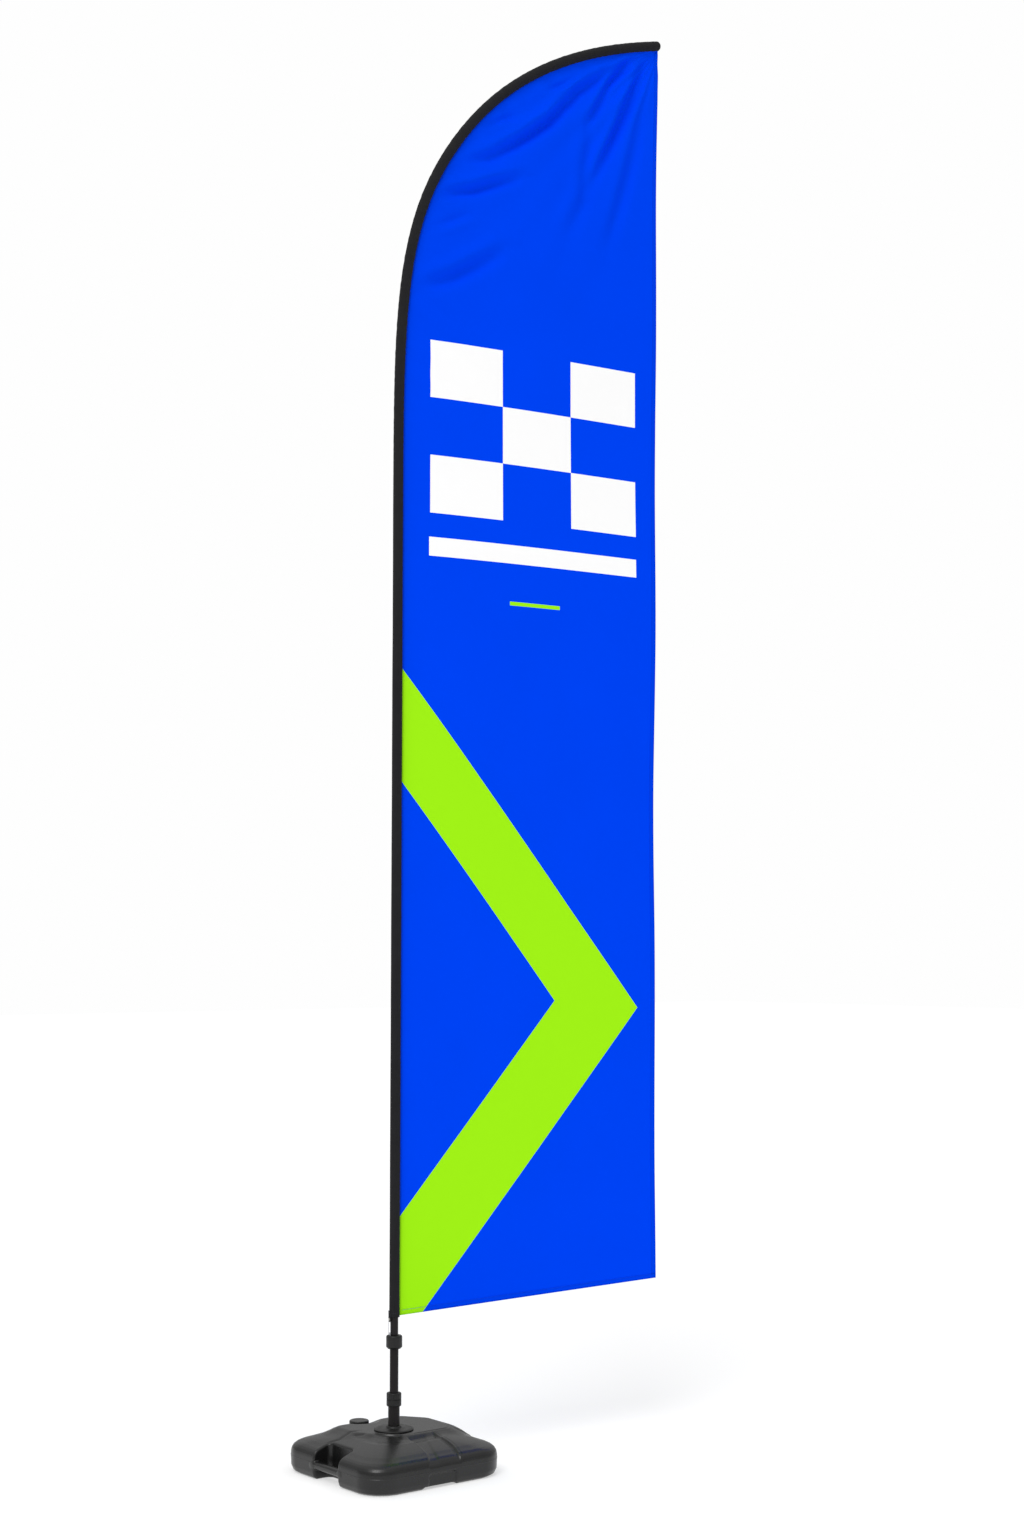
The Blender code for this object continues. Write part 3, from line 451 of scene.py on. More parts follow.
def plated_metal(name, colour, roughness):
    """Plated or turned metal: soft reflections, broken by faint wipe marks."""
    made, tree, shader = start_finish(name, colour, roughness, Metallic=1.0)
    if tree is None:
        return made
    place = add_node(tree, "ShaderNodeTexCoord").outputs["Object"]
    # Wipe marks about 4 mm apart
    marks = add_node(tree, "ShaderNodeTexNoise", {"Vector": place, "Scale": 1 / 0.004, "Detail": 5.0})
    rough = add_node(
        tree, "ShaderNodeMapRange",
        {"Value": marks.outputs["Fac"], "From Min": 0.3, "From Max": 0.7,
         "To Min": roughness - 0.06, "To Max": roughness + 0.10},
    )
    dark, light = shades(colour, 0.08)
    ground = add_node(
        tree, "ShaderNodeMix", {"Factor": marks.outputs["Fac"], "A": dark, "B": light}, data_type="RGBA"
    )
    tree.links.new(ground.outputs[2], shader.inputs["Base Color"])
    tree.links.new(rough.outputs[0], shader.inputs["Roughness"])
    return made


def plain_polymer(name, colour, roughness, ior):
    """A moulded or pultruded polymer with a fine uneven gloss."""
    made, tree, shader = start_finish(name, colour, roughness, IOR=ior)
    if tree is None:
        return made
    place = add_node(tree, "ShaderNodeTexCoord").outputs["Object"]
    # Flow marks about 6 mm across
    flow = add_node(tree, "ShaderNodeTexNoise", {"Vector": place, "Scale": 1 / 0.006, "Detail": 3.0})
    dark, light = shades(colour, 0.10)
    ground = add_node(
        tree, "ShaderNodeMix", {"Factor": flow.outputs["Fac"], "A": dark, "B": light}, data_type="RGBA"
    )
    tree.links.new(ground.outputs[2], shader.inputs["Base Color"])
    skin = add_node(
        tree, "ShaderNodeBump", {"Height": flow.outputs["Fac"], "Strength": 0.1, "Distance": 0.0002}
    )
    tree.links.new(skin.outputs[0], shader.inputs["Normal"])
    return made


def weave_height(tree, across, along, pitch):
    """Height of a plain weave from two places in metres and its thread pitch."""
    turn = 2 * math.pi / pitch
    waves = []
    for place in (across, along):
        angle = add_node(tree, "ShaderNodeMath", {0: place, 1: turn}, operation="MULTIPLY")
        waves.append(add_node(tree, "ShaderNodeMath", {0: angle.outputs[0]}, operation="SINE"))
    crossed = add_node(
        tree, "ShaderNodeMath", {0: waves[0].outputs[0], 1: waves[1].outputs[0]}, operation="MULTIPLY"
    )
    return crossed.outputs[0]


def woven_sleeve():
    """Charcoal woven polyester webbing cloth: matte, with a soft fuzz and a visible plain weave."""
    colour = tuple(settings_mast().sleeve_colour)
    made, tree, shader = start_finish(
        "Woven charcoal polyester", colour, 0.86, IOR=1.45, Sheen_Weight=0.03, Sheen_Roughness=0.5,
        Specular_IOR_Level=0.12,
    )
    if tree is None:
        return made
    cut = add_node(tree, "ShaderNodeUVMap", uv_map="Cut").outputs[0]
    spot = add_node(tree, "ShaderNodeSeparateXYZ", {0: cut})
    # Threads about 0.5 mm apart, drawn at 1.6 mm
    weave = weave_height(tree, spot.outputs[0], spot.outputs[1], 0.0016)
    fade = add_node(tree, "ShaderNodeTexNoise", {"Vector": cut, "Scale": 1 / 0.035, "Detail": 4.0})
    dark, light = shades(colour, 0.20)
    ground = add_node(
        tree, "ShaderNodeMix", {"Factor": fade.outputs["Fac"], "A": dark, "B": light}, data_type="RGBA"
    )
    tree.links.new(ground.outputs[2], shader.inputs["Base Color"])
    skin = add_node(tree, "ShaderNodeBump", {"Height": weave, "Strength": 0.4, "Distance": 0.0004})
    tree.links.new(skin.outputs[0], shader.inputs["Normal"])
    return made


def within(tree, place, low, high):
    """1 where a value lies between two others."""
    middle, half = (low + high) / 2, (high - low) / 2
    test = add_node(tree, "ShaderNodeMath", {0: place, 1: middle, 2: half}, operation="COMPARE")
    return test.outputs[0]


def both(tree, one, other):
    """The product of two masks."""
    return add_node(tree, "ShaderNodeMath", {0: one, 1: other}, operation="MULTIPLY").outputs[0]


def box_mask(tree, x, z, low, high):
    """1 inside an upright box on the sheet."""
    return both(tree, within(tree, x, low[0], high[0]), within(tree, z, low[1], high[1]))


def arrow_mask(tree, x, z, upper, point, lower):
    """1 behind an arrow head that points to +x."""
    sides = []
    for end in (upper, lower):
        slope = (point[0] - end[0]) / (point[1] - end[1])
        reach = add_node(
            tree, "ShaderNodeMath", {0: z, 1: slope, 2: point[0] - slope * point[1]},
            operation="MULTIPLY_ADD",
        )
        sides.append(
            add_node(tree, "ShaderNodeMath", {0: x, 1: reach.outputs[0]}, operation="LESS_THAN").outputs[0]
        )
    return both(tree, *sides)


def print_layers(tree, x, z):
    """Masks of the chevron and dash, and of the white marks."""
    outer = arrow_mask(tree, x, z, *CHEVRON_OUTER)
    inner = arrow_mask(tree, x, z, *CHEVRON_INNER)
    chevron = add_node(
        tree, "ShaderNodeMath", {0: outer, 1: inner}, operation="SUBTRACT", use_clamp=True
    ).outputs[0]
    dash = box_mask(tree, x, z, DASH_LOW, DASH_HIGH)
    green = add_node(tree, "ShaderNodeMath", {0: chevron, 1: dash}, operation="MAXIMUM").outputs[0]
    white = box_mask(tree, x, z, BAR_MARK_LOW, BAR_MARK_HIGH)
    wide = (BLOCK_HIGH[0] - BLOCK_LOW[0]) / 3
    tall = (BLOCK_HIGH[1] - BLOCK_LOW[1]) / 3
    for square in range(0, 9, 2):
        low = (BLOCK_LOW[0] + wide * (square % 3), BLOCK_LOW[1] + tall * (square // 3))
        patch = box_mask(tree, x, z, low, (low[0] + wide, low[1] + tall))
        white = add_node(tree, "ShaderNodeMath", {0: white, 1: patch}, operation="MAXIMUM").outputs[0]
    return green, white


def printed_polyester(name="Dye-printed knitted polyester", hem=False):
    """Dye-sublimated knitted polyester: dyed through, so matte and even, with a fine knit; as a hem, drawn
    darker as painted shade.
    """
    sheet = settings_sheet()
    made, tree, shader = start_finish(
        name, tuple(sheet.field), 0.85, IOR=1.40, Specular_IOR_Level=0.0,
    )
    if tree is None:
        return made
    place = add_node(tree, "ShaderNodeTexCoord").outputs["Object"]
    spot = add_node(tree, "ShaderNodeSeparateXYZ", {0: place})
    x, z = spot.outputs["X"], spot.outputs["Z"]
    green, white = print_layers(tree, x, z)
    # Dye takes unevenly over patches about 250 mm across
    dye = add_node(tree, "ShaderNodeTexNoise", {"Vector": place, "Scale": 1 / 0.25, "Detail": 3.0})
    dark, light = shades(tuple(sheet.field), 0.035)
    field = add_node(
        tree, "ShaderNodeMix", {"Factor": dye.outputs["Fac"], "A": dark, "B": light}, data_type="RGBA"
    )
    with_green = add_node(
        tree, "ShaderNodeMix",
        {"Factor": green, "A": field.outputs[2], "B": (*tuple(sheet.chevron), 1.0)}, data_type="RGBA",
    )
    with_white = add_node(
        tree, "ShaderNodeMix",
        {"Factor": white, "A": with_green.outputs[2], "B": (*tuple(sheet.mark), 1.0)}, data_type="RGBA",
    )
    # Knitted rows about 0.7 mm apart, drawn at 2 mm
    knit = weave_height(tree, x, z, 0.0020)
    # With hem set, the colour is drawn a tenth darker, towards black: painted shade that stands in for the
    # shadow of the hem's pucker and doubled edge
    if hem:
        shade = add_node(
            tree, "ShaderNodeMix",
            {"Factor": 0.10, "A": with_white.outputs[2], "B": (0.0, 0.0, 0.0, 1.0)}, data_type="RGBA",
        )
        tree.links.new(shade.outputs[2], shader.inputs["Base Color"])
    else:
        tree.links.new(with_white.outputs[2], shader.inputs["Base Color"])
    skin = add_node(tree, "ShaderNodeBump", {"Height": knit, "Strength": 0.10, "Distance": 0.0003})
    tree.links.new(skin.outputs[0], shader.inputs["Normal"])
    return made


def sewing_thread(name, hex_colour):
    """Spun polyester thread: matte, with its twist as a fine ripple."""
    made, tree, shader = start_finish(name, linear(hex_colour), 0.8, Specular_IOR_Level=0.2)
    if tree is None:
        return made
    place = add_node(tree, "ShaderNodeTexCoord").outputs["Object"]
    # The twist repeats about each millimetre
    twist = add_node(tree, "ShaderNodeTexNoise", {"Vector": place, "Scale": 1 / 0.001, "Detail": 1.0})
    skin = add_node(
        tree, "ShaderNodeBump", {"Height": twist.outputs["Fac"], "Strength": 0.4, "Distance": 0.0001}
    )
    tree.links.new(skin.outputs[0], shader.inputs["Normal"])
    return made


def braided_cord():
    """Braided elastic cord in pale grey: matte, with crossing strands."""
    made, tree, shader = start_finish(
        "Braided elastic cord", linear("#BEC0C4"), 0.75, Sheen_Weight=0.2, Sheen_Roughness=0.5
    )
    if tree is None:
        return made
    place = add_node(tree, "ShaderNodeTexCoord").outputs["Object"]
    # Strands cross about every 0.8 mm
    strands = add_node(
        tree, "ShaderNodeTexWave", {"Vector": place, "Scale": 1 / 0.005, "Distortion": 1.0},
        bands_direction="DIAGONAL",
    )
    dark, light = shades(linear("#BEC0C4"), 0.18)
    ground = add_node(
        tree, "ShaderNodeMix", {"Factor": strands.outputs["Fac"], "A": dark, "B": light},
        data_type="RGBA",
    )
    tree.links.new(ground.outputs[2], shader.inputs["Base Color"])
    skin = add_node(
        tree, "ShaderNodeBump", {"Height": strands.outputs["Fac"], "Strength": 0.5, "Distance": 0.0002}
    )
    tree.links.new(skin.outputs[0], shader.inputs["Normal"])
    return made


def studio_paper():
    """Matte white studio paper: even and without gloss."""
    made, tree, shader = start_finish("Matte studio paper", linear("#C4C4C4"), 1.0, Specular_IOR_Level=0.0)
    if tree is None:
        return made
    place = add_node(tree, "ShaderNodeTexCoord").outputs["Object"]
    # Broad unevenness of the paper, over 1.5 m
    tone = add_node(tree, "ShaderNodeTexNoise", {"Vector": place, "Scale": 1 / 1.5, "Detail": 1.0})
    dark, light = shades(linear("#C4C4C4"), 0.004)
    ground = add_node(
        tree, "ShaderNodeMix", {"Factor": tone.outputs["Fac"], "A": dark, "B": light}, data_type="RGBA"
    )
    tree.links.new(ground.outputs[2], shader.inputs["Base Color"])
    # The paper is lit a little past white, so that only close shadows show on it
    shader.inputs["Emission Color"].default_value = (1.0, 1.0, 1.0, 1.0)
    shader.inputs["Emission Strength"].default_value = 0.49
    return made


# Shared mesh work


def add_piece(name, points, faces, material, body, slot=None, replaces=(), on_mast=False):
    """A smooth-shaded piece, placed and riding on its body."""
    mesh = bpy.data.meshes.new(name)
    mesh.from_pydata([tuple(p) for p in points], [], [tuple(f) for f in faces])
    mesh.validate()
    mesh.materials.append(material)
    piece = bpy.data.objects.new(name, mesh)
    bpy.context.scene.collection.objects.link(piece)
    shade(piece)
    if on_mast:
        piece.rotation_euler.z = settings_mast().heading
    if replaces:
        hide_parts(*replaces)
    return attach(piece, body)


def shade(piece, angle=38.0):
    piece.data.shade_smooth()
    piece.data.set_sharp_from_angle(angle=math.radians(angle))


def eased(profile, radius, closed=True):
    """A profile with each corner turned into a short arc."""
    made = []
    count = len(profile)
    for i, (r, z) in enumerate(profile):
        if not closed and i in (0, count - 1):
            made.append((r, z))
            continue
        here = Vector((r, z))
        before = Vector(profile[i - 1]) - here
        after = Vector(profile[(i + 1) % count]) - here
        reach = min(radius, before.length * 0.45, after.length * 0.45)
        if reach < 1e-5 or before.angle(after) > math.radians(172):
            made.append((r, z))
            continue
        start = here + before.normalized() * reach
        end = here + after.normalized() * reach
        for share in (0.0, 0.33, 0.67, 1.0):
            point = start.lerp(here, share).lerp(here.lerp(end, share), share)
            made.append((point.x, point.y))
    return made


def turned(name, profile, material, body, at=(0, 0), flutes=None, **placing):
    """A turned piece from a closed profile of (radius, height), with shallow flutes if given."""
    steps = settings_mast().round_steps
    if flutes:
        steps = flutes[0] * 8
    angles = np.arange(steps) / steps * 2 * math.pi
    points = []
    for radius, height in profile:
        rim = np.full(steps, max(radius, 1e-6))
        if flutes and flutes[2] <= height <= flutes[3] and radius >= flutes[4]:
            rim = rim - flutes[1] * np.clip(np.cos(angles * flutes[0]), 0, 1)
        ring = np.stack([rim * np.cos(angles) + at[0], rim * np.sin(angles) + at[1]], 1)
        points.append(np.column_stack([ring, np.full(steps, height)]))
    count = len(profile)
    faces = []
    for i in range(count):
        j = (i + 1) % count
        if max(profile[i][0], profile[j][0]) < 1e-5:
            continue
        for k in range(steps):
            m = (k + 1) % steps
            faces.append((i * steps + k, j * steps + k, j * steps + m, i * steps + m))
    piece = add_piece(name, np.concatenate(points), faces, material, body, **placing)
    weld(piece)
    return piece


def weld(piece):
    """Joins points that coincide and turns the faces outward."""
    shape = bmesh.new()
    shape.from_mesh(piece.data)
    bmesh.ops.remove_doubles(shape, verts=shape.verts, dist=3e-6)
    bmesh.ops.dissolve_degenerate(shape, dist=1e-7, edges=shape.edges)
    bmesh.ops.recalc_face_normals(shape, faces=shape.faces)
    shape.to_mesh(piece.data)
    shape.free()
    shade(piece)


def tube_profile(outer, inner, low, high):
    return eased([(outer, high), (outer, low), (inner, low), (inner, high)], 0.0005)


def apply_boolean(piece, cutter, operation="DIFFERENCE"):
    """Cuts or joins a piece, and takes the other object away."""
    modifier = piece.modifiers.new("Cut", "BOOLEAN")
    modifier.object = cutter
    modifier.operation = operation
    modifier.solver = "MANIFOLD"
    bpy.context.view_layer.update()
    done = bpy.data.meshes.new_from_object(piece.evaluated_get(bpy.context.evaluated_depsgraph_get()))
    if len(done.polygons) < 100:
        raise RuntimeError(f"cutting {piece.name} left almost nothing")
    piece.modifiers.clear()
    piece.data = done
    bpy.data.objects.remove(cutter, do_unlink=True)


# The tank's form, as signed distances: below zero inside


def side_inset(x, y, half, corner):
    """How far in from a rounded square's sides, with the same corner radius at every depth."""
    a, b = half - np.abs(x), half - np.abs(y)
    apart = np.minimum(np.abs(a - b), corner)
    rounded = (a + b - 2 * corner + np.sqrt(2 * corner**2 - apart**2)) / 2
    return np.where(np.abs(a - b) < corner, rounded, np.minimum(a, b))


def outline_distance(u, v, outline):
    """Signed distance to a closed outline in its own plane."""
    nearest = np.full(u.shape, 1e9, u.dtype)
    inside = np.zeros(u.shape, bool)
    for i, (u1, v1) in enumerate(outline):
        u0, v0 = outline[i - 1]
        du, dv = u1 - u0, v1 - v0
        share = np.clip(((u - u0) * du + (v - v0) * dv) / (du * du + dv * dv), 0, 1)
        nearest = np.minimum(nearest, (u - u0 - share * du) ** 2 + (v - v0 - share * dv) ** 2)
        if dv:
            inside ^= ((v0 > v) != (v1 > v)) & (u < du * (v - v0) / dv + u0)
    return np.where(inside, -1, 1) * np.sqrt(nearest)


def joined(one, other, soft):
    """Union of two forms, with a fillet."""
    share = np.clip(0.5 + 0.5 * (other - one) / soft, 0, 1)
    return other * (1 - share) + one * share - soft * share * (1 - share)


def cut_away(one, other, soft):
    """One form less the other, with a rounded rim."""
    return -joined(-one, other, soft)


def box_distance(p, low, high, rounding):
    middle, half = (np.array(low) + high) / 2, (np.array(high) - low) / 2 - rounding
    beyond = np.abs(p - middle) - half
    outside = np.linalg.norm(np.maximum(beyond, 0), axis=1)
    return outside + np.minimum(beyond.max(1), 0) - rounding


def rise(distance, soft):
    """A smooth step from 0 to 1 across a line."""
    return 0.5 + 0.5 * np.tanh(distance / soft)


def route_distance(x, y, route):
    """Distance to a bent line, which side of it, and how far along it from 0 to 1."""
    nearest = np.full(x.shape, 1e9)
    side = np.ones(x.shape)
    share_of = np.zeros(x.shape)
    spans = [math.dist(a, b) for a, b in zip(route, route[1:])]
    gone = 0.0
    for (x0, y0), (x1, y1), span in zip(route, route[1:], spans):
        dx, dy = (x1 - x0) / span, (y1 - y0) / span
        along = np.clip((x - x0) * dx + (y - y0) * dy, 0, span)
        away = np.hypot(x - x0 - along * dx, y - y0 - along * dy)
        closer = away < nearest
        nearest = np.where(closer, away, nearest)
        side = np.where(closer, np.sign((x - x0) * dy - (y - y0) * dx), side)
        share_of = np.where(closer, (gone + along) / sum(spans), share_of)
        gone += span
    return nearest, side, share_of


def edge_at(y, edge):
    """x of a moulded line at each y."""
    heights = [point[0] for point in edge][::-1]
    return np.interp(y, heights, [point[1] for point in edge][::-1])


def pressed(x, y):
    """How far the top's moulded lines lie below its plain form."""
    forward = rise(-0.086 - y, 0.006)
    left = x - edge_at(y, FRONT_EDGE)
    middle = x - edge_at(y, PANEL_EDGE)
    right = edge_at(y, CHANNEL_EDGE) - x
    depth = 0.0055 * rise(left, 0.0035) * rise(right, 0.0025) * forward
    depth -= 0.0022 * rise(middle, 0.003) * rise(right - 0.009, 0.002) * forward
    depth -= 0.0024 * np.exp(-((left / 0.0035) ** 2)) * forward
    depth += 0.0012 * np.exp(-(((right + 0.007) / 0.0022) ** 2)) * forward
    for route, low, width in ((LEFT_CREASE, 0.0026, 0.0055), (LOBE_CREASE, 0.0022, 0.005),
                              (RIGHT_CREASE, 0.0018, 0.005)):
        away, _, share = route_distance(x, y, route)
        ends = np.clip(np.minimum(share, 1 - share) * 6 + 0.25, 0, 1)
        depth += low * np.exp(-((away / width) ** 2)) * ends
    around = np.hypot(x, y)
    angle = np.degrees(np.arctan2(y, x))
    lip = rise(angle + 172, 6) * rise(-112 - angle, 6)
    depth -= 0.0034 * np.exp(-(((around - 0.0665) / 0.0032) ** 2)) * lip
    beyond = around - 0.070
    depth += 0.0036 * rise(beyond, 0.0016) * np.exp(-((beyond / 0.030) ** 2)) * lip
    return depth


def pad_centres():
    """Middles of the arcs that round the pad's corners."""
    corners = [Vector(c) for c in PAD_CORNERS]
    middles = []
    for i, corner in enumerate(corners):
        came = (corner - corners[i - 1]).normalized()
        goes = (corners[(i + 1) % len(corners)] - corner).normalized()
        inward = (goes - came).normalized()
        middles.append(tuple(corner + inward * PAD_ROUNDING / math.cos(came.angle(goes) / 2)))
    return middles


def slope_outline():
    shares = [i / 6 for i in range(1, 7)]
    shoulder = WALL_OUTLINE[-1]
    return [
        (shoulder[0] + SLOPE_REACH * s, SHOULDER_HEIGHT + (LOBE_HEIGHT - SHOULDER_HEIGHT) * s**SLOPE_CURVE)
        for s in shares
    ]


def tank_form(p):
    """The tank: wall and top, raised pad, filler boss and neck, grip, arch and moulded lines."""
    soft = settings_tank().moulded_radius
    x, y, z = p[:, 0], p[:, 1], p[:, 2]
    inset = side_inset(x, y, HALF_SIDE, TANK_CORNER)
    deep = HALF_SIDE + 0.2
    wall = [*WALL_OUTLINE, *slope_outline(), (deep, LOBE_HEIGHT), (deep, 0.0)]
    body = outline_distance(inset, z, wall)
    pad_plan = PAD_ROUNDING - outline_distance(x, y, pad_centres())
    pad_wall = [(grow, PAD_TOP + drop) for grow, drop in PAD_OUTLINE]
    pad = outline_distance(pad_plan, z, [*pad_wall, (0.3, PAD_TOP), (0.3, 0.05), (-0.060, 0.05)])
    from_filler = np.hypot(x, y - FILLER_Y)
    dish_slope = (0.057 - 0.033) / (PAD_TOP - BOSS_TOP)
    dish = np.maximum(from_filler - 0.034 - dish_slope * (z - BOSS_TOP), BOSS_TOP - z) * 0.55
    pad = cut_away(pad, dish, soft)
    form = joined(body, pad, soft * 1.3)
    form = form + pressed(x, y) * rise(z - 0.062, 0.006)
    # A fine step round the pad's right and front edge
    rim = np.exp(-(((pad_plan + 0.001) / 0.0026) ** 2)) * rise(z - 0.090, 0.005) * rise(x - 0.01, 0.012)
    form = form + 0.0018 * rim
    boss = np.maximum(np.maximum(from_filler - 0.031, z - BOSS_TOP), 0.05 - z)
    form = joined(form, boss, 0.003)
    neck = np.maximum(from_filler - 0.0215, z - NECK_TOP)
    form = joined(form, np.maximum(neck, 0.06 - z), 0.0015)
    pocket = box_distance(
        p, (-HALF_SIDE - 0.05, -GRIP_HALF, -0.05), (-GRIP_BACK, GRIP_HALF, 0.2), 0.015
    )
    form = cut_away(form, pocket, soft)
    bar = box_distance(
        p, (-HALF_SIDE, -GRIP_HALF - 0.02, BAR_LOW), (-BAR_BACK, GRIP_HALF + 0.02, BAR_HIGH), 0.008
    )
    bar = np.maximum(bar, -inset)
    form = joined(form, bar, soft * 0.8)
    arch = box_distance(
        p, (-ARCH_HALF, -HALF_SIDE - 0.05, -0.05), (ARCH_HALF, -ARCH_BACK, ARCH_HEIGHT), 0.003
    )
    form = cut_away(form, arch, 0.003)
    # A shallow recess in the lower front wall, over the arch
    recess = box_distance(
        p, (-0.042, -HALF_SIDE - 0.05, 0.0), (0.048, -HALF_SIDE + 0.0045, 0.038), 0.002
    )
    return cut_away(form, recess, 0.004)


def skin_of(form, low, high, step):
    """Points and quads of the surface where a form is zero, on a grid and then pulled onto it."""
    axes = [np.arange(low[i], high[i] + step, step) for i in range(3)]
    grid = np.stack(np.meshgrid(*axes, indexing="ij"), -1)
    shape = grid.shape[:3]
    inside = (form(grid.reshape(-1, 3)) < 0).reshape(shape)
    corners = [
        inside[i : shape[0] - 1 + i, j : shape[1] - 1 + j, k : shape[2] - 1 + k]
        for i in (0, 1) for j in (0, 1) for k in (0, 1)
    ]
    mixed = np.any(corners, axis=0) & ~np.all(corners, axis=0)
    number = np.full(mixed.shape, -1)
    number[mixed] = np.arange(mixed.sum())
    cells = np.argwhere(mixed)
    points = np.array(low) + (cells + 0.5) * step
    quads = []
    for axis in range(3):
        one, two = (axis + 1) % 3, (axis + 2) % 3
        here = np.take(inside, range(shape[axis] - 1), axis)
        there = np.take(inside, range(1, shape[axis]), axis)
        for leaving in (True, False):
            edges = np.argwhere((here & ~there) if leaving else (~here & there))
            around = []
            for back_one, back_two in ((0, 0), (1, 0), (1, 1), (0, 1)):
                cell = edges.copy()
                cell[:, one] -= back_one
                cell[:, two] -= back_two
                around.append(number[tuple(cell.T)])
            quad = np.stack(around, 1)
            quads.append(quad if leaving else quad[:, ::-1])
    quads = np.concatenate(quads)
    for relaxing in range(7):
        points = pulled_onto(form, points, step)
        if relaxing < 5:
            points = relaxed(points, quads)
    return points, quads


def pulled_onto(form, points, step):
    """Moves points along the form's slope until it is zero there."""
    tiny = 1e-5
    for _ in range(2):
        value = form(points)
        slope = np.stack([(form(points + tiny * np.eye(3)[i]) - value) / tiny for i in range(3)], 1)
        move = slope * (value / np.maximum((slope**2).sum(1), 0.05))[:, None]
        size = np.linalg.norm(move, axis=1, keepdims=True)
        points = points - move * np.minimum(1, step / np.maximum(size, 1e-12))
    return points


def relaxed(points, quads):
    """Moves each point half way to the mean of its neighbours."""
    total, count = np.zeros_like(points), np.zeros(len(points))
    for i in range(4):
        here, there = quads[:, i], quads[:, (i + 1) % 4]
        for a, b in ((here, there), (there, here)):
            for axis in range(3):
                total[:, axis] += np.bincount(a, points[b, axis], len(points))
            count += np.bincount(a, minlength=len(points))
    return (points + total / count[:, None]) / 2


# The pole's line


class MastLine:
    """The pole's centre line in its upright plane, by length from the pole's foot."""

    def __init__(self, steps=70):
        start = Vector((0, SLEEVE_FOOT + FLAG_HEIGHT - BEND_RISE))
        knee = start + Vector(KNEE)
        tip = start + Vector((BEND_REACH, BEND_RISE))
        at_knee = Vector((math.cos(KNEE_ANGLE), math.sin(KNEE_ANGLE)))
        at_tip = Vector((math.cos(TIP_ANGLE), math.sin(TIP_ANGLE)))
        leave, reach, onward, arrive = BEND_HANDLES
        up = Vector((0, leave))
        lower = interpolate_bezier(start, start + up, knee - at_knee * reach, knee, steps)
        upper = interpolate_bezier(knee, knee + at_knee * onward, tip - at_tip * arrive, tip, steps)
        straight = [(0, POLE_FOOT), (0, (POLE_FOOT + start.y) / 2)]
        self.points = np.array([*straight, *[(p.x, p.y) for p in (*lower, *upper[1:])]])
        spans = np.linalg.norm(np.diff(self.points, axis=0), axis=1)
        self.lengths = np.concatenate([[0.0], np.cumsum(spans)])
        self.total = self.lengths[-1]
        self.bend = self.lengths[2]
        ahead = np.gradient(self.points, self.lengths, axis=0)
        self.ahead = ahead / np.linalg.norm(ahead, axis=1, keepdims=True)

    def at(self, length):
        return np.stack([np.interp(length, self.lengths, self.points[:, i]) for i in (0, 1)], -1)

    def direction(self, length):
        ahead = np.stack([np.interp(length, self.lengths, self.ahead[:, i]) for i in (0, 1)], -1)
        return ahead / np.linalg.norm(ahead, axis=-1, keepdims=True)

    def beside(self, length, out, across=0.0):
        """Points a distance out towards the sheet, and across its plane."""
        along = self.direction(length)
        towards = np.stack([along[..., 1], -along[..., 0]], -1)
        place = self.at(length) + towards * np.asarray(out)[..., None]
        return np.stack([place[..., 0], np.broadcast_to(across, place[..., 0].shape), place[..., 1]], -1)


def ripple(value, pitch, seed, waves=5):
    """A smooth uneven wave of about a pitch, from -1 to 1."""
    random = np.random.default_rng(seed)
    total = 0.0
    for _ in range(waves):
        length = pitch * random.uniform(0.6, 1.7)
        total = total + np.sin(2 * math.pi * value / length + random.uniform(0, 6.28))
    return total / waves


def grid_faces(rows, columns, wrap=False):
    """Quads of a grid of points, closed round its columns when it wraps."""
    last = columns if wrap else columns - 1
    i, j = np.meshgrid(np.arange(rows - 1), np.arange(last), indexing="ij")
    k = (j + 1) % columns
    here, next_row = i * columns, (i + 1) * columns
    return np.stack([here + j, here + k, next_row + k, next_row + j], -1).reshape(-1, 4)


def hose(name, line, low, high, radius, bore, material, slot, replaces):
    """A tube that follows the pole's line, from one length to another."""
    marks = np.linspace(low, high, max(int((high - low) / 0.012), 3))
    angles = np.arange(32) / 32 * 2 * math.pi
    rings = []
    for r, row in ((radius, marks), (bore, marks[::-1])):
        rings.append(line.beside(row[:, None], r * np.cos(angles)[None], r * np.sin(angles)[None]))
    points = np.concatenate(rings)
    rows = len(points)
    faces = list(grid_faces(rows, 32, wrap=True))
    faces += [((rows - 1) * 32 + j, (rows - 1) * 32 + (j + 1) % 32, (j + 1) % 32, j) for j in range(32)]
    piece = add_piece(
        name, points.reshape(-1, 3), faces, material, "mast", slot=slot, replaces=replaces, on_mast=True
    )
    weld(piece)
    return piece


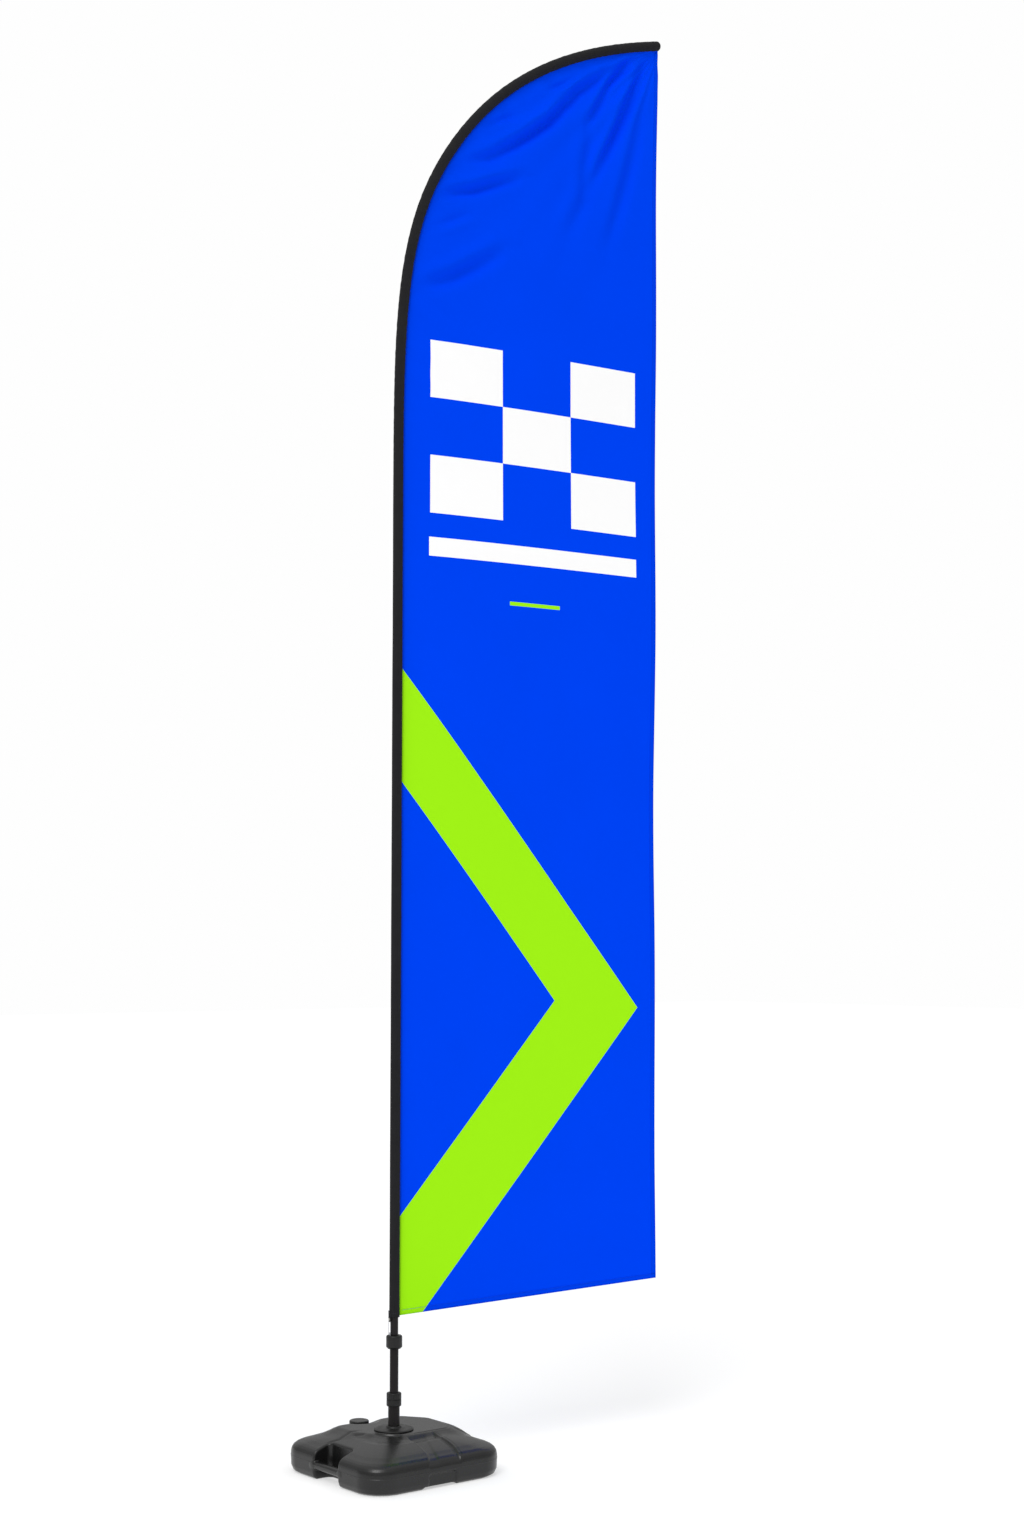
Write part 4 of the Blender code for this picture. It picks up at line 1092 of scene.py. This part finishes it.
def stitches(name, route, material, slot, radius=0.00035, length=0.0045):
    """A row of stitches along a route of points: a thread that dips into the cloth between them."""
    route = np.asarray(route)
    spans = np.concatenate([[0.0], np.cumsum(np.linalg.norm(np.diff(route, axis=0), axis=1))])
    marks = np.arange(0, spans[-1], length / 4)
    centre = np.stack([np.interp(marks, spans, route[:, i]) for i in range(3)], 1)
    ahead = np.gradient(centre, axis=0)
    ahead /= np.linalg.norm(ahead, axis=1, keepdims=True)
    across = np.cross(ahead, (0.0, 1.0, 0.0))
    across /= np.linalg.norm(across, axis=1, keepdims=True)
    up = np.cross(across, ahead)
    thick = radius * (0.25 + 0.75 * np.abs(np.sin(math.pi * marks / length)))
    angles = np.arange(4) / 4 * 2 * math.pi + math.pi / 4
    points = centre[:, None] + thick[:, None, None] * (
        np.cos(angles)[None, :, None] * across[:, None] + np.sin(angles)[None, :, None] * up[:, None]
    )
    faces = [tuple(f) for f in grid_faces(len(marks), 4, wrap=True)]
    last = (len(marks) - 1) * 4
    faces += [(0, 1, 2, 3), (last + 3, last + 2, last + 1, last)]
    return add_piece(name, points.reshape(-1, 3), faces, material, "mast", slot=slot, on_mast=True)


# The cloth's shape


def sheet_edges(line, share):
    """Inner and free edge of the sheet at a share of the way from its foot to its tip."""
    sheet = settings_sheet()
    out = settings_mast().sleeve_radius + GAP
    foot = SLEEVE_FOOT - POLE_FOOT + 0.003
    end = line.total - TIP_INSET
    inner = line.beside(foot + (end - foot) * share, np.full(np.shape(share), out))[..., (0, 2)]
    first = line.beside(np.array([foot, end]), np.full(2, out))[..., (0, 2)]
    corner = first[0] + (sheet.foot_width, sheet.foot_rise)
    outer = np.stack([
        corner[0] + (first[1][0] - corner[0]) * share**sheet.edge_curve,
        corner[1] + (first[1][1] - corner[1]) * share,
    ], -1)
    return inner, outer


def cloth(line, share, across):
    """Points of the sheet at a share from foot to tip and a share from sleeve to free edge."""
    sheet = settings_sheet()
    inner, outer = sheet_edges(line, share)
    flat = inner + (outer - inner) * across[..., None]
    width = np.linalg.norm(outer - inner, axis=-1)
    out = width * across
    x, z = flat[..., 0], flat[..., 1]
    sag = np.sin(math.pi * np.clip(across, 0, 1) ** 0.8)
    belly = sheet.billow * sag * np.sin(math.pi * np.clip(share, 0, 1))
    edge_sway = 0.009 * across**2 * ripple(z, 1.4, 3) * np.clip(width / 0.4, 0, 1)
    depth = -belly + edge_sway + 0.0015 * ripple(z, 0.45, 5) * ripple(x, 0.5, 6)
    bent = rise(share - 0.60, 0.06)
    tip = np.array([0.915, 4.245])
    from_tip = np.hypot(x - tip[0], z - tip[1])
    angle = np.arctan2(tip[1] - z, tip[0] - x)
    fan = ripple(angle, 0.20, 11, 4) * np.exp(-from_tip / 0.42) * np.clip(from_tip / 0.22, 0, 1)
    depth = depth + 0.0070 * fan
    # Drag folds that leave the bent sleeve square to it
    drag = ripple(share * line.total + out * 0.25, 0.085, 17, 4) * np.exp(-out / 0.10) * bent
    depth = depth + 0.0050 * drag
    pucker = ripple(share * line.total, 0.026, 23, 3) * np.exp(-out / 0.020) * (0.25 + 0.75 * bent)
    depth = depth + 0.0011 * pucker
    for route, low, half_width in FOLDS:
        away, side, along = route_distance(x, z, route)
        ends = np.sin(math.pi * np.clip(along, 0.02, 0.98)) ** 0.7
        signed = away * side
        valley = np.exp(-((signed / half_width) ** 2))
        ridge = np.exp(-(((signed - 1.7 * half_width) / half_width) ** 2))
        depth = depth + 1.7 * low * ends * (valley - 0.55 * ridge)
    held = 1 - np.exp(-out / 0.028)
    small = np.clip(width / 0.06, 0, 1)
    return np.stack([x, depth * held * small, z], -1)


def cloth_strip(name, line, share, across, lift, thick, material, slot):
    """A thin strip that lies on the sheet, such as a hem's turned edge."""
    grid = cloth(line, share, across)
    grid[..., 1] += lift
    rows, columns = grid.shape[:2]
    piece = add_piece(
        name, grid.reshape(-1, 3), grid_faces(rows, columns), material, "mast", slot=slot, on_mast=True
    )
    wall = piece.modifiers.new("Cloth", "SOLIDIFY")
    wall.thickness = thick
    wall.offset = 0
    return piece


# Operators


class FLAG_OT_stage(Operator):
    """Set the camera, the pale floor and the soft light"""

    bl_idname = "flag.stage"
    bl_label = "Stage"

    def execute(self, context):
        stage = settings_stage()
        scene = context.scene
        scene.view_settings.view_transform = "Standard"
        camera = bpy.data.objects.new("Camera", bpy.data.cameras.new("Camera"))
        scene.collection.objects.link(camera)
        camera.data.lens = 50
        camera.data.sensor_width = 36
        camera.location = (
            math.sin(stage.azimuth) * stage.distance,
            -math.cos(stage.azimuth) * stage.distance,
            stage.height,
        )
        camera.rotation_euler = (stage.pitch, 0, stage.turn)
        scene.camera = camera

        reach = 40.0
        mesh = bpy.data.meshes.new("floor")
        corners = [(-reach, -reach, 0), (reach, -reach, 0), (reach, reach, 0), (-reach, reach, 0)]
        mesh.from_pydata(corners, [], [(0, 1, 2, 3)])
        mesh.materials.append(studio_paper())
        floor = bpy.data.objects.new("floor", mesh)
        scene.collection.objects.link(floor)
        floor.location.z = -0.0002

        sun = bpy.data.lights.new("key", "SUN")
        sun.energy = stage.key
        sun.angle = math.radians(28)
        key = bpy.data.objects.new("key", sun)
        scene.collection.objects.link(key)
        key.rotation_euler = (math.radians(42), 0, math.radians(-58))

        world = bpy.data.worlds.new("studio")
        scene.world = world
        world.use_nodes = True
        tree = world.node_tree
        tree.nodes.clear()
        seen = add_node(tree, "ShaderNodeBackground", {"Color": (*linear("#FEFEFE"), 1.0), "Strength": 1.0})
        direction = add_node(tree, "ShaderNodeTexCoord").outputs["Generated"]
        way = add_node(tree, "ShaderNodeSeparateXYZ", {0: direction})
        overhead = add_node(
            tree, "ShaderNodeMapRange",
            {"Value": way.outputs["Z"], "From Min": 0.0, "From Max": 1.0,
             "To Min": stage.fill * 0.8, "To Max": stage.fill * 2.2},
        )
        around = add_node(
            tree, "ShaderNodeBackground", {"Color": (1, 1, 1, 1), "Strength": overhead.outputs[0]}
        )
        ray = add_node(tree, "ShaderNodeLightPath").outputs["Is Camera Ray"]
        mixed = add_node(tree, "ShaderNodeMixShader", {0: ray, 1: around.outputs[0], 2: seen.outputs[0]})
        add_node(tree, "ShaderNodeOutputWorld", {"Surface": mixed.outputs[0]})
        return {"FINISHED"}


class FLAG_OT_tension_cord(Operator):
    """Lay the elastic tension cord between the sleeve's tab and the hub"""

    bl_idname = "flag.tension_cord"
    bl_label = "Tension Cord"

    def execute(self, context):
        mast = settings_mast()
        turn = 0.003
        out = -(mast.sleeve_radius + GAP + 0.0006)
        top = SLEEVE_FOOT - 0.012 + 0.0055 - turn
        bottom = HUB_TOP + 0.0055 + turn
        middle = (top + bottom) / 2
        route = [(out - turn, middle + GAP)]
        for height, start in ((top, math.pi), (bottom, 0.0)):
            for step in range(9):
                angle = start - step / 8 * math.pi
                route.append((out + turn * math.cos(angle), height + turn * math.sin(angle)))
        route.append((out - turn, middle - GAP))
        curve = bpy.data.curves.new("tension_cord_braid", "CURVE")
        curve.dimensions = "3D"
        curve.bevel_depth = mast.cord_radius
        curve.bevel_resolution = 4
        curve.use_fill_caps = True
        spline = curve.splines.new("POLY")
        spline.points.add(len(route) - 1)
        cos, sin = math.cos(mast.heading), math.sin(mast.heading)
        placed = [(x * cos, x * sin, z) for x, z in route]
        for point, place in zip(spline.points, placed):
            point.co = (*place, 1)
        curve.materials.append(braided_cord())
        cord = bpy.data.objects.new("tension_cord_braid", curve)
        context.scene.collection.objects.link(cord)
        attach(cord, "mast")
        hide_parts("tension_cord")
        return {"FINISHED"}


class FLAG_OT_tank(Operator):
    """Mould the tank's skin, with its grip, pad, filler neck and parting line"""

    bl_idname = "flag.tank"
    bl_label = "Base Tank"

    def execute(self, context):
        tank = settings_tank()
        edge = 2 * tank.skin_step
        low = (-HALF_SIDE - edge, -HALF_SIDE - edge, -edge)
        high = (HALF_SIDE + edge, HALF_SIDE + edge, PAD_TOP + edge)
        points, quads = skin_of(tank_form, low, high, tank.skin_step)
        skin = add_piece(
            "tank_skin", points, quads, moulded_polyethylene(), "base", slot="tank_plastic",
            replaces=("base_tank",),
        )
        weld(skin)
        bores = (
            ("well", POST_RADIUS + GAP, 0.0055, PAD_TOP + 0.03, 0.0),
            ("neck", 0.018, 0.012, NECK_TOP + 0.02, FILLER_Y),
        )
        for name, radius, foot, top, y in bores:
            cutter = turned(
                name + "_bore", [(0, top), (radius, top), (radius, foot), (0, foot)],
                moulded_polyethylene(), "base", at=(0, y),
            )
            apply_boolean(skin, cutter)
        shade(skin, 42.0)

        route = []
        corner_steps = 16
        bead_sides = 6
        grip_end = GRIP_HALF + 0.018
        middle = HALF_SIDE - TANK_CORNER
        for quarter in range(4):
            for step in range(corner_steps + 1):
                angle = (quarter + step / corner_steps) * math.pi / 2
                across = quarter * math.pi / 2 + math.pi / 4
                route.append((
                    middle * math.sqrt(2) * math.cos(across) + TANK_CORNER * math.cos(angle),
                    middle * math.sqrt(2) * math.sin(across) + TANK_CORNER * math.sin(angle),
                ))
            if quarter == 1:
                route += [(-HALF_SIDE, grip_end), (-HALF_SIDE, -grip_end)]
        rounds = np.arange(bead_sides) / bead_sides * 2 * math.pi
        ring = []
        for i, (x, y) in enumerate(route):
            ahead = Vector(route[(i + 1) % len(route)]) - Vector(route[i - 1])
            outward = Vector((ahead.y, -ahead.x)).normalized()
            for a in rounds:
                out = tank.seam_bead * (math.cos(a) - 0.35)
                height = SEAM_HEIGHT + tank.seam_bead * math.sin(a)
                ring.append((x + outward.x * out, y + outward.y * out, height))
        count = len(route)
        faces = []
        for i in range(count):
            ends = (route[i], route[(i + 1) % count])
            here, there = i * bead_sides, (i + 1) % count * bead_sides
            # The line stops at the grip, with both its ends closed
            if all(x < -HALF_SIDE + 0.001 and abs(y) <= grip_end for x, y in ends):
                faces.append(tuple(range(here, here + bead_sides)))
                faces.append(tuple(range(there + bead_sides - 1, there - 1, -1)))
                continue
            for k in range(bead_sides):
                m = (k + 1) % bead_sides
                faces.append((here + k, there + k, there + m, here + m))
        add_piece("tank_parting_line", ring, faces, moulded_polyethylene(), "base", slot="tank_plastic")
        return {"FINISHED"}


class FLAG_OT_filler(Operator):
    """Turn the filler's ribbed cap"""

    bl_idname = "flag.filler"
    bl_label = "Filler Cap"

    def execute(self, context):
        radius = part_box("filler_cap")[1].x
        ceiling = CAP_TOP - 0.0025
        profile = eased([
            (0, CAP_TOP - 0.0010),
            (0.0150, CAP_TOP - 0.0010),
            (0.0175, CAP_TOP),
            (radius - 0.0022, CAP_TOP),
            (radius, CAP_TOP - 0.0022),
            (radius, CAP_TOP - 0.0060),
            (radius, CAP_FOOT + 0.0010),
            (radius, CAP_FOOT),
            (0.0222, CAP_FOOT),
            (0.0222, ceiling),
            (0, ceiling),
        ], 0.0010, closed=False)
        turned(
            "filler_cap_ribbed", profile, moulded_polyethylene(), "filler_cap", at=(0, FILLER_Y),
            flutes=(36, 0.0007, CAP_FOOT + 0.0005, CAP_TOP - 0.0018, radius - 0.0012),
            slot="tank_plastic", replaces=("filler_cap",),
        )
        return {"FINISHED"}


class FLAG_OT_fittings(Operator):
    """Turn the flange, the twist lock and the hub collar"""

    bl_idname = "flag.fittings"
    bl_label = "Moulded Fittings"

    def execute(self, context):
        nylon = moulded_nylon()
        seat, flange_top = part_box("post_flange")[0].z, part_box("post_flange")[0].z + 0.0052
        bore = POST_RADIUS + GAP
        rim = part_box("post_flange")[1].x
        turned("post_flange_disc", eased([
            (bore + 0.0045, flange_top + 0.006),
            (bore + 0.0060, flange_top + 0.001),
            (rim - 0.006, flange_top),
            (rim, flange_top - 0.0020),
            (rim, seat),
            (0.0303, seat),
            (0.0303, seat + 0.0017),
            (bore, seat + 0.0017),
            (bore, flange_top + 0.006),
        ], 0.0016), nylon, "base", slot="fitting_plastic", replaces=("post_flange",))
        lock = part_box("lock_body")
        hole = RISER_RADIUS + GAP
        turned("lock_body_cup", eased([
            (lock[1].x, lock[1].z),
            (lock[1].x, lock[0].z + 0.0015),
            (lock[1].x - 0.0012, lock[0].z),
            (bore, lock[0].z),
            (bore, POST_TOP + GAP),
            (hole, POST_TOP + GAP),
            (hole, lock[1].z),
        ], 0.0008), nylon, "base", slot="fitting_plastic", replaces=("lock_body",))
        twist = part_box("lock_ring")
        under = twist[1].z - 0.0055
        bored = hole + 0.004 + GAP
        turned("lock_ring_fluted", eased([
            (twist[1].x - 0.0018, twist[1].z),
            (twist[1].x, twist[1].z - 0.0018),
            (twist[1].x, twist[0].z + 0.0012),
            (twist[1].x - 0.0006, twist[0].z),
            (bored, twist[0].z),
            (bored, under),
            (RISER_RADIUS + 0.0007, under),
            (RISER_RADIUS + 0.0007, twist[1].z),
        ], 0.0008), nylon, "lock_ring",
            flutes=(20, 0.0006, twist[0].z + 0.0008, twist[1].z - 0.0021, twist[1].x - 0.0008),
            slot="fitting_plastic", replaces=("lock_ring",))
        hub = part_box("hub_collar")
        radius = (hub[1].x - hub[0].x) / 2
        washer_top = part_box("thrust_washer")[1].z + GAP
        turned("hub_collar_cup", eased([
            (radius - 0.0035, HUB_TOP),
            (radius - 0.0010, HUB_TOP - 0.0015),
            (radius, HUB_TOP - 0.004),
            (radius, HUB_FOOT + 0.005),
            (radius - 0.005, HUB_FOOT),
            (RISER_RADIUS + 0.0007, HUB_FOOT),
            (RISER_RADIUS + 0.0007, washer_top),
            (0.0067, washer_top),
            (0.0067, POLE_FOOT - GAP),
            (0.0113, POLE_FOOT - GAP),
            (0.0113, HUB_TOP),
        ], 0.0012), nylon, "mast", slot="fitting_plastic", replaces=("hub_collar",))
        return {"FINISHED"}


class FLAG_OT_tubes(Operator):
    """Draw the post, the riser and the sections of the pole with their ferrules"""

    bl_idname = "flag.tubes"
    bl_label = "Tubes"

    def execute(self, context):
        anodised = anodised_tube()
        turned(
            "post_tube", tube_profile(POST_RADIUS, POST_RADIUS - 0.002, POST_FOOT, POST_TOP),
            anodised, "base", slot="dark_tube", replaces=("base_post",),
        )
        turned(
            "riser_drawn", tube_profile(RISER_RADIUS, RISER_RADIUS - 0.0015, RISER_FOOT, RISER_TOP),
            anodised, "riser", slot="dark_tube", replaces=("riser_tube",),
        )
        line = MastLine()
        spigot, ferrule = 0.120, 0.040
        section = (line.total - TIP_INSET + 3 * spigot) / 4
        plated = plated_metal("Zinc-plated steel", linear("#BEC0C4"), 0.35)
        radius, foot = 0.011, 0.0
        for place, wall in zip(("lower", "middle", "upper"), (0.0017, 0.0015, 0.0014)):
            mouth = foot + section
            hose("pole_tube_" + place, line, foot, mouth, radius, radius - wall, anodised, "dark_tube",
                 ("pole_" + place,))
            hose("ferrule_band_" + place, line, mouth - ferrule, mouth, radius + 0.0015, radius + GAP,
                 plated, "ferrule_steel", ("ferrule_" + place,))
            radius -= wall + GAP
            foot = mouth - spigot
        end = line.total - TIP_INSET
        glass = plain_polymer("Pultruded fibreglass", linear("#28282A"), 0.35, 1.54)
        hose("pole_rod_tip", line, foot, end, radius, 0.0003, glass, "fibreglass_rod", ("pole_tip",))
        rubber = plain_polymer("Moulded black rubber", linear("#1C1C1C"), 0.80, 1.52)
        hose("tip_cap_soft", line, end - 0.020, end + 0.003, 0.0112, radius + GAP, rubber, "seal_rubber",
             ("tip_cap",))
        return {"FINISHED"}


class FLAG_OT_sleeve(Operator):
    """Sew the fabric sleeve over the pole, with its hem, seam and tab"""

    bl_idname = "flag.sleeve"
    bl_label = "Sleeve"

    def execute(self, context):
        mast = settings_mast()
        line = MastLine()
        cloth_finish = woven_sleeve()
        low = SLEEVE_FOOT - POLE_FOOT
        high = line.total - TIP_INSET + 0.0110
        rows, columns = int((high - low) / 0.0042), 30
        marks = np.linspace(low, high, rows)[:, None]
        angles = (np.arange(columns) / columns * 2 * math.pi)[None]
        bent = rise(marks - line.bend - 0.25, 0.15)
        inner_side = np.clip(np.cos(angles), 0, 1)
        radius = mast.sleeve_radius + 0.0005 * bent + 0.00025 * ripple(marks, 0.35, 31) * (1 + angles * 0)
        radius = radius + bent * 0.00055 * ripple(marks + 0.004 * np.sin(angles), 0.030, 37, 4)
        radius = radius + bent * inner_side * 0.0007 * ripple(marks, 0.014, 41, 3)
        toward = np.minimum(angles, 2 * math.pi - angles)
        seam = np.exp(-((toward / 0.40) ** 2))
        out = radius * (1 + 0.065 * seam) * np.cos(angles)
        across = radius * (1 - 0.30 * seam) * np.sin(angles)
        hem = 0.0005 * rise(low + 0.016 - marks, 0.0008)
        closing = np.sqrt(np.clip(1 - (np.clip(marks - (high - 0.013), 0, None) / 0.0131) ** 2, 0.0, 1))
        out = (out + hem * np.cos(angles)) * closing
        across = (across + hem * np.sin(angles)) * closing
        points = line.beside(marks * np.ones_like(angles), out, across)
        faces = [tuple(f) for f in grid_faces(rows, columns, wrap=True)]
        last = (rows - 1) * columns
        faces.append(tuple(last + columns - 1 - j for j in range(columns))[::-1])
        sleeve = add_piece(
            "sleeve_cloth", points.reshape(-1, 3), faces, cloth_finish, "mast", slot="sleeve_fabric",
            replaces=("pole_sleeve", "sleeve_pocket"), on_mast=True,
        )
        cut = sleeve.data.uv_layers.new(name="Cut")
        spots = np.stack([
            np.broadcast_to(marks, (rows, columns)),
            mast.sleeve_radius * np.broadcast_to(angles, (rows, columns)),
        ], -1).reshape(-1, 2)
        corners = np.empty(len(sleeve.data.loops), np.int32)
        sleeve.data.loops.foreach_get("vertex_index", corners)
        cut.data.foreach_set("uv", spots[corners].astype(np.float32).ravel())
        wall = sleeve.modifiers.new("Cloth", "SOLIDIFY")
        wall.thickness = mast.sleeve_wall
        wall.offset = -1

        thread = sewing_thread("Black sewing thread", "#3C3C42")
        every = np.arange(low + 0.004, line.total - 0.030, 0.02)
        for name, side in (("sleeve_seam_front", -1), ("sleeve_seam_back", 1)):
            place = line.beside(
                every, np.full(len(every), mast.sleeve_radius * 0.80),
                np.full(len(every), side * (mast.sleeve_radius * 0.47 + 0.0004)),
            )
            stitches(name, place, thread, "sleeve_fabric")
        around = np.linspace(0, 2 * math.pi, 60)
        loop = line.beside(
            np.full(60, low + 0.012), (mast.sleeve_radius + 0.0006) * np.cos(around),
            (mast.sleeve_radius + 0.0006) * np.sin(around),
        )
        stitches("sleeve_hem_stitch", loop, thread, "sleeve_fabric")

        tab_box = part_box("sleeve_tab")
        tab = self.make_tab(tab_box, cloth_finish)
        return {"FINISHED"}

    def make_tab(self, box, finish):
        """The folded tab on the sleeve's foot, with a hole for its eyelet."""
        mast = settings_mast()
        out = -(mast.sleeve_radius + GAP + 0.0006)
        low, high = box[0].z, box[1].z
        half, columns, rows = 0.006, 13, 31
        z = np.linspace(low, high, rows)[:, None] * np.ones((1, columns))
        y = np.linspace(-half, half, columns)[None] * np.ones((rows, 1))
        y = y * (1 - 0.12 * np.exp(-((z - low) / 0.004) ** 2))
        x = out + 0.0002 * np.sin((z - low) / 0.007) + 18.0 * y**2 * (z > SLEEVE_FOOT) * 0.4
        grid = np.stack([x, y, z], -1)
        tab = add_piece(
            "sleeve_tab_cloth", grid.reshape(-1, 3), grid_faces(rows, columns), finish, "mast",
            slot="sleeve_fabric", replaces=("sleeve_tab",), on_mast=True,
        )
        cut = tab.data.uv_layers.new(name="Cut")
        corners = np.empty(len(tab.data.loops), np.int32)
        tab.data.loops.foreach_get("vertex_index", corners)
        spots = grid.reshape(-1, 3)[:, 1:]
        cut.data.foreach_set("uv", spots[corners].astype(np.float32).ravel())
        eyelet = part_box("tab_eyelet")
        hole_height = (eyelet[0].z + eyelet[1].z) / 2
        hole_radius = 0.0026
        webbing = 0.0011
        shape = bmesh.new()
        shape.from_mesh(tab.data)
        inside = []
        for face in shape.faces:
            middle = face.calc_center_median()
            if math.hypot(middle.y, middle.z - hole_height) < hole_radius:
                inside.append(face)
        bmesh.ops.delete(shape, geom=inside, context="FACES")
        shape.to_mesh(tab.data)
        shape.free()
        wall = tab.modifiers.new("Cloth", "SOLIDIFY")
        wall.thickness = webbing
        wall.offset = 0
        return tab


class FLAG_OT_sheet(Operator):
    """Cut, print, fold and hem the flag's sheet"""

    bl_idname = "flag.sheet"
    bl_label = "Printed Sheet"

    def execute(self, context):
        sheet = settings_sheet()
        line = MastLine()
        # Rows lie closer together round the bend, where the folds are
        even = np.linspace(0, 1, sheet.rows)
        shares = np.interp(even, (0, 0.34, 1), (0, 0.55, 1))[:, None]
        across = np.linspace(0, 1, sheet.columns)[None]
        share_grid = shares * np.ones_like(across)
        across_grid = across * np.ones_like(shares)
        grid = cloth(line, share_grid, across_grid)
        faces = [tuple(f) for f in grid_faces(sheet.rows, sheet.columns)]
        panel = add_piece(
            "printed_sheet", grid.reshape(-1, 3), faces, printed_polyester(), "mast",
            slot="printed_fabric", replaces=("flag_panel",), on_mast=True,
        )
        weld(panel)
        wall = panel.modifiers.new("Cloth", "SOLIDIFY")
        wall.thickness = sheet.thickness
        wall.offset = 0
        inner, outer = sheet_edges(line, shares[:, 0])
        widths = np.linalg.norm(outer - inner, axis=-1)

        # The hems' finish is the print drawn a tenth darker: painted shade along the hems
        hem_painted_shade_finish = printed_polyester("Dye-printed polyester hem with painted shade", hem=True)
        thread = sewing_thread("Blue sewing thread", "#0A3CC8")
        hem = sheet.hem_width
        rows = shares[:-2] * np.ones((1, 4))
        inward = np.clip(hem / np.maximum(widths[:-2], 0.02), 0, 0.6)[:, None]
        columns = 1 - inward * np.linspace(1, 0, 4)[None]
        foot_rows = np.linspace(0, hem / (line.total - 0.1), 4)[:, None] * np.ones((1, sheet.columns))
        foot_columns = across * np.ones((4, 1))
        for side, suffix in ((-1, "front"), (1, "back")):
            lift = side * 0.0006
            cloth_strip(
                "free_hem_" + suffix, line, rows, columns, lift, 0.0005, hem_painted_shade_finish, "printed_fabric"
            )
            cloth_strip(
                "foot_hem_" + suffix, line, foot_rows, foot_columns, lift, 0.0005, hem_painted_shade_finish, "printed_fabric"
            )
            route = cloth(line, shares[:-8, 0], 1 - 0.85 * inward[:-6, 0])
            route[:, 1] += side * 0.0010
            stitches("free_stitch_" + suffix, route, thread, "printed_fabric")
            every = np.linspace(0.01, 0.99, 120)
            route = cloth(line, np.full(len(every), 0.85 * hem / (line.total - 0.1)), every)
            route[:, 1] += side * 0.0010
            stitches("foot_stitch_" + suffix, route, thread, "printed_fabric")
        return {"FINISHED"}


class FLAG_OT_hardware(Operator):
    """Give the seals, washers, bushes, spindle and metal fittings their finishes"""

    bl_idname = "flag.hardware"
    bl_label = "Hardware"

    def execute(self, context):
        zinc = plated_metal("Zinc-plated steel", linear("#BEC0C4"), 0.35)
        nickel = plated_metal("Nickel-plated brass", linear("#D9D6CE"), 0.22)
        brass = plated_metal("Turned brass", linear("#BEA05A"), 0.40)
        rubber = plain_polymer("Moulded black rubber", linear("#1C1C1C"), 0.80, 1.52)
        acetal = plain_polymer("Machined white acetal", linear("#E8E8E4"), 0.45, 1.48)
        finishes = {
            "well_insert": brass,
            "post_screw_plug": zinc,
            "spindle_plug": zinc,
            "spindle": zinc,
            "hub_staple": zinc,
            "tab_eyelet": nickel,
            "post_seal": rubber,
            "filler_gasket": rubber,
            "thrust_washer": acetal,
            "spindle_bush_lower": acetal,
            "spindle_bush_upper": acetal,
            "lock_collet": moulded_nylon(),
            "riser_guide": moulded_nylon(),
        }
        for node, finish in finishes.items():
            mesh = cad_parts[node].data
            mesh.materials.clear()
            mesh.materials.append(finish)
        return {"FINISHED"}


class FLAG_PT_builder(Panel):
    """Lists the flag's pieces in the order they are made"""

    bl_label = "Feather Flag"
    bl_space_type = "VIEW_3D"
    bl_region_type = "UI"
    bl_category = "Feather Flag"

    def draw(self, context):
        for group in GROUPS:
            box = self.layout.box()
            settings = getattr(context.scene, group)
            for name in settings.__annotations__:
                box.prop(settings, name)
        for operator in OPERATORS:
            self.layout.operator(operator.bl_idname)


GROUPS = {
    "flag_tank": FlagTank,
    "flag_mast": FlagMast,
    "flag_sheet": FlagSheet,
    "flag_stage": FlagStage,
}
OPERATORS = (
    FLAG_OT_stage,
    FLAG_OT_tension_cord,
    FLAG_OT_tank,
    FLAG_OT_filler,
    FLAG_OT_fittings,
    FLAG_OT_tubes,
    FLAG_OT_sleeve,
    FLAG_OT_sheet,
    FLAG_OT_hardware,
)


def register():
    for made in (*GROUPS.values(), *OPERATORS, FLAG_PT_builder):
        bpy.utils.register_class(made)
    for name, group in GROUPS.items():
        setattr(bpy.types.Scene, name, PointerProperty(type=group))


def unregister():
    for name in GROUPS:
        delattr(bpy.types.Scene, name)
    for made in (FLAG_PT_builder, *reversed(OPERATORS), *reversed(GROUPS.values())):
        bpy.utils.unregister_class(made)


def main():
    register()
    bpy.ops.flag.stage()
    bpy.ops.flag.tension_cord()
    bpy.ops.flag.tank()
    bpy.ops.flag.filler()
    bpy.ops.flag.fittings()
    bpy.ops.flag.tubes()
    bpy.ops.flag.sleeve()
    bpy.ops.flag.sheet()
    bpy.ops.flag.hardware()


if __name__ == "__main__":
    main()
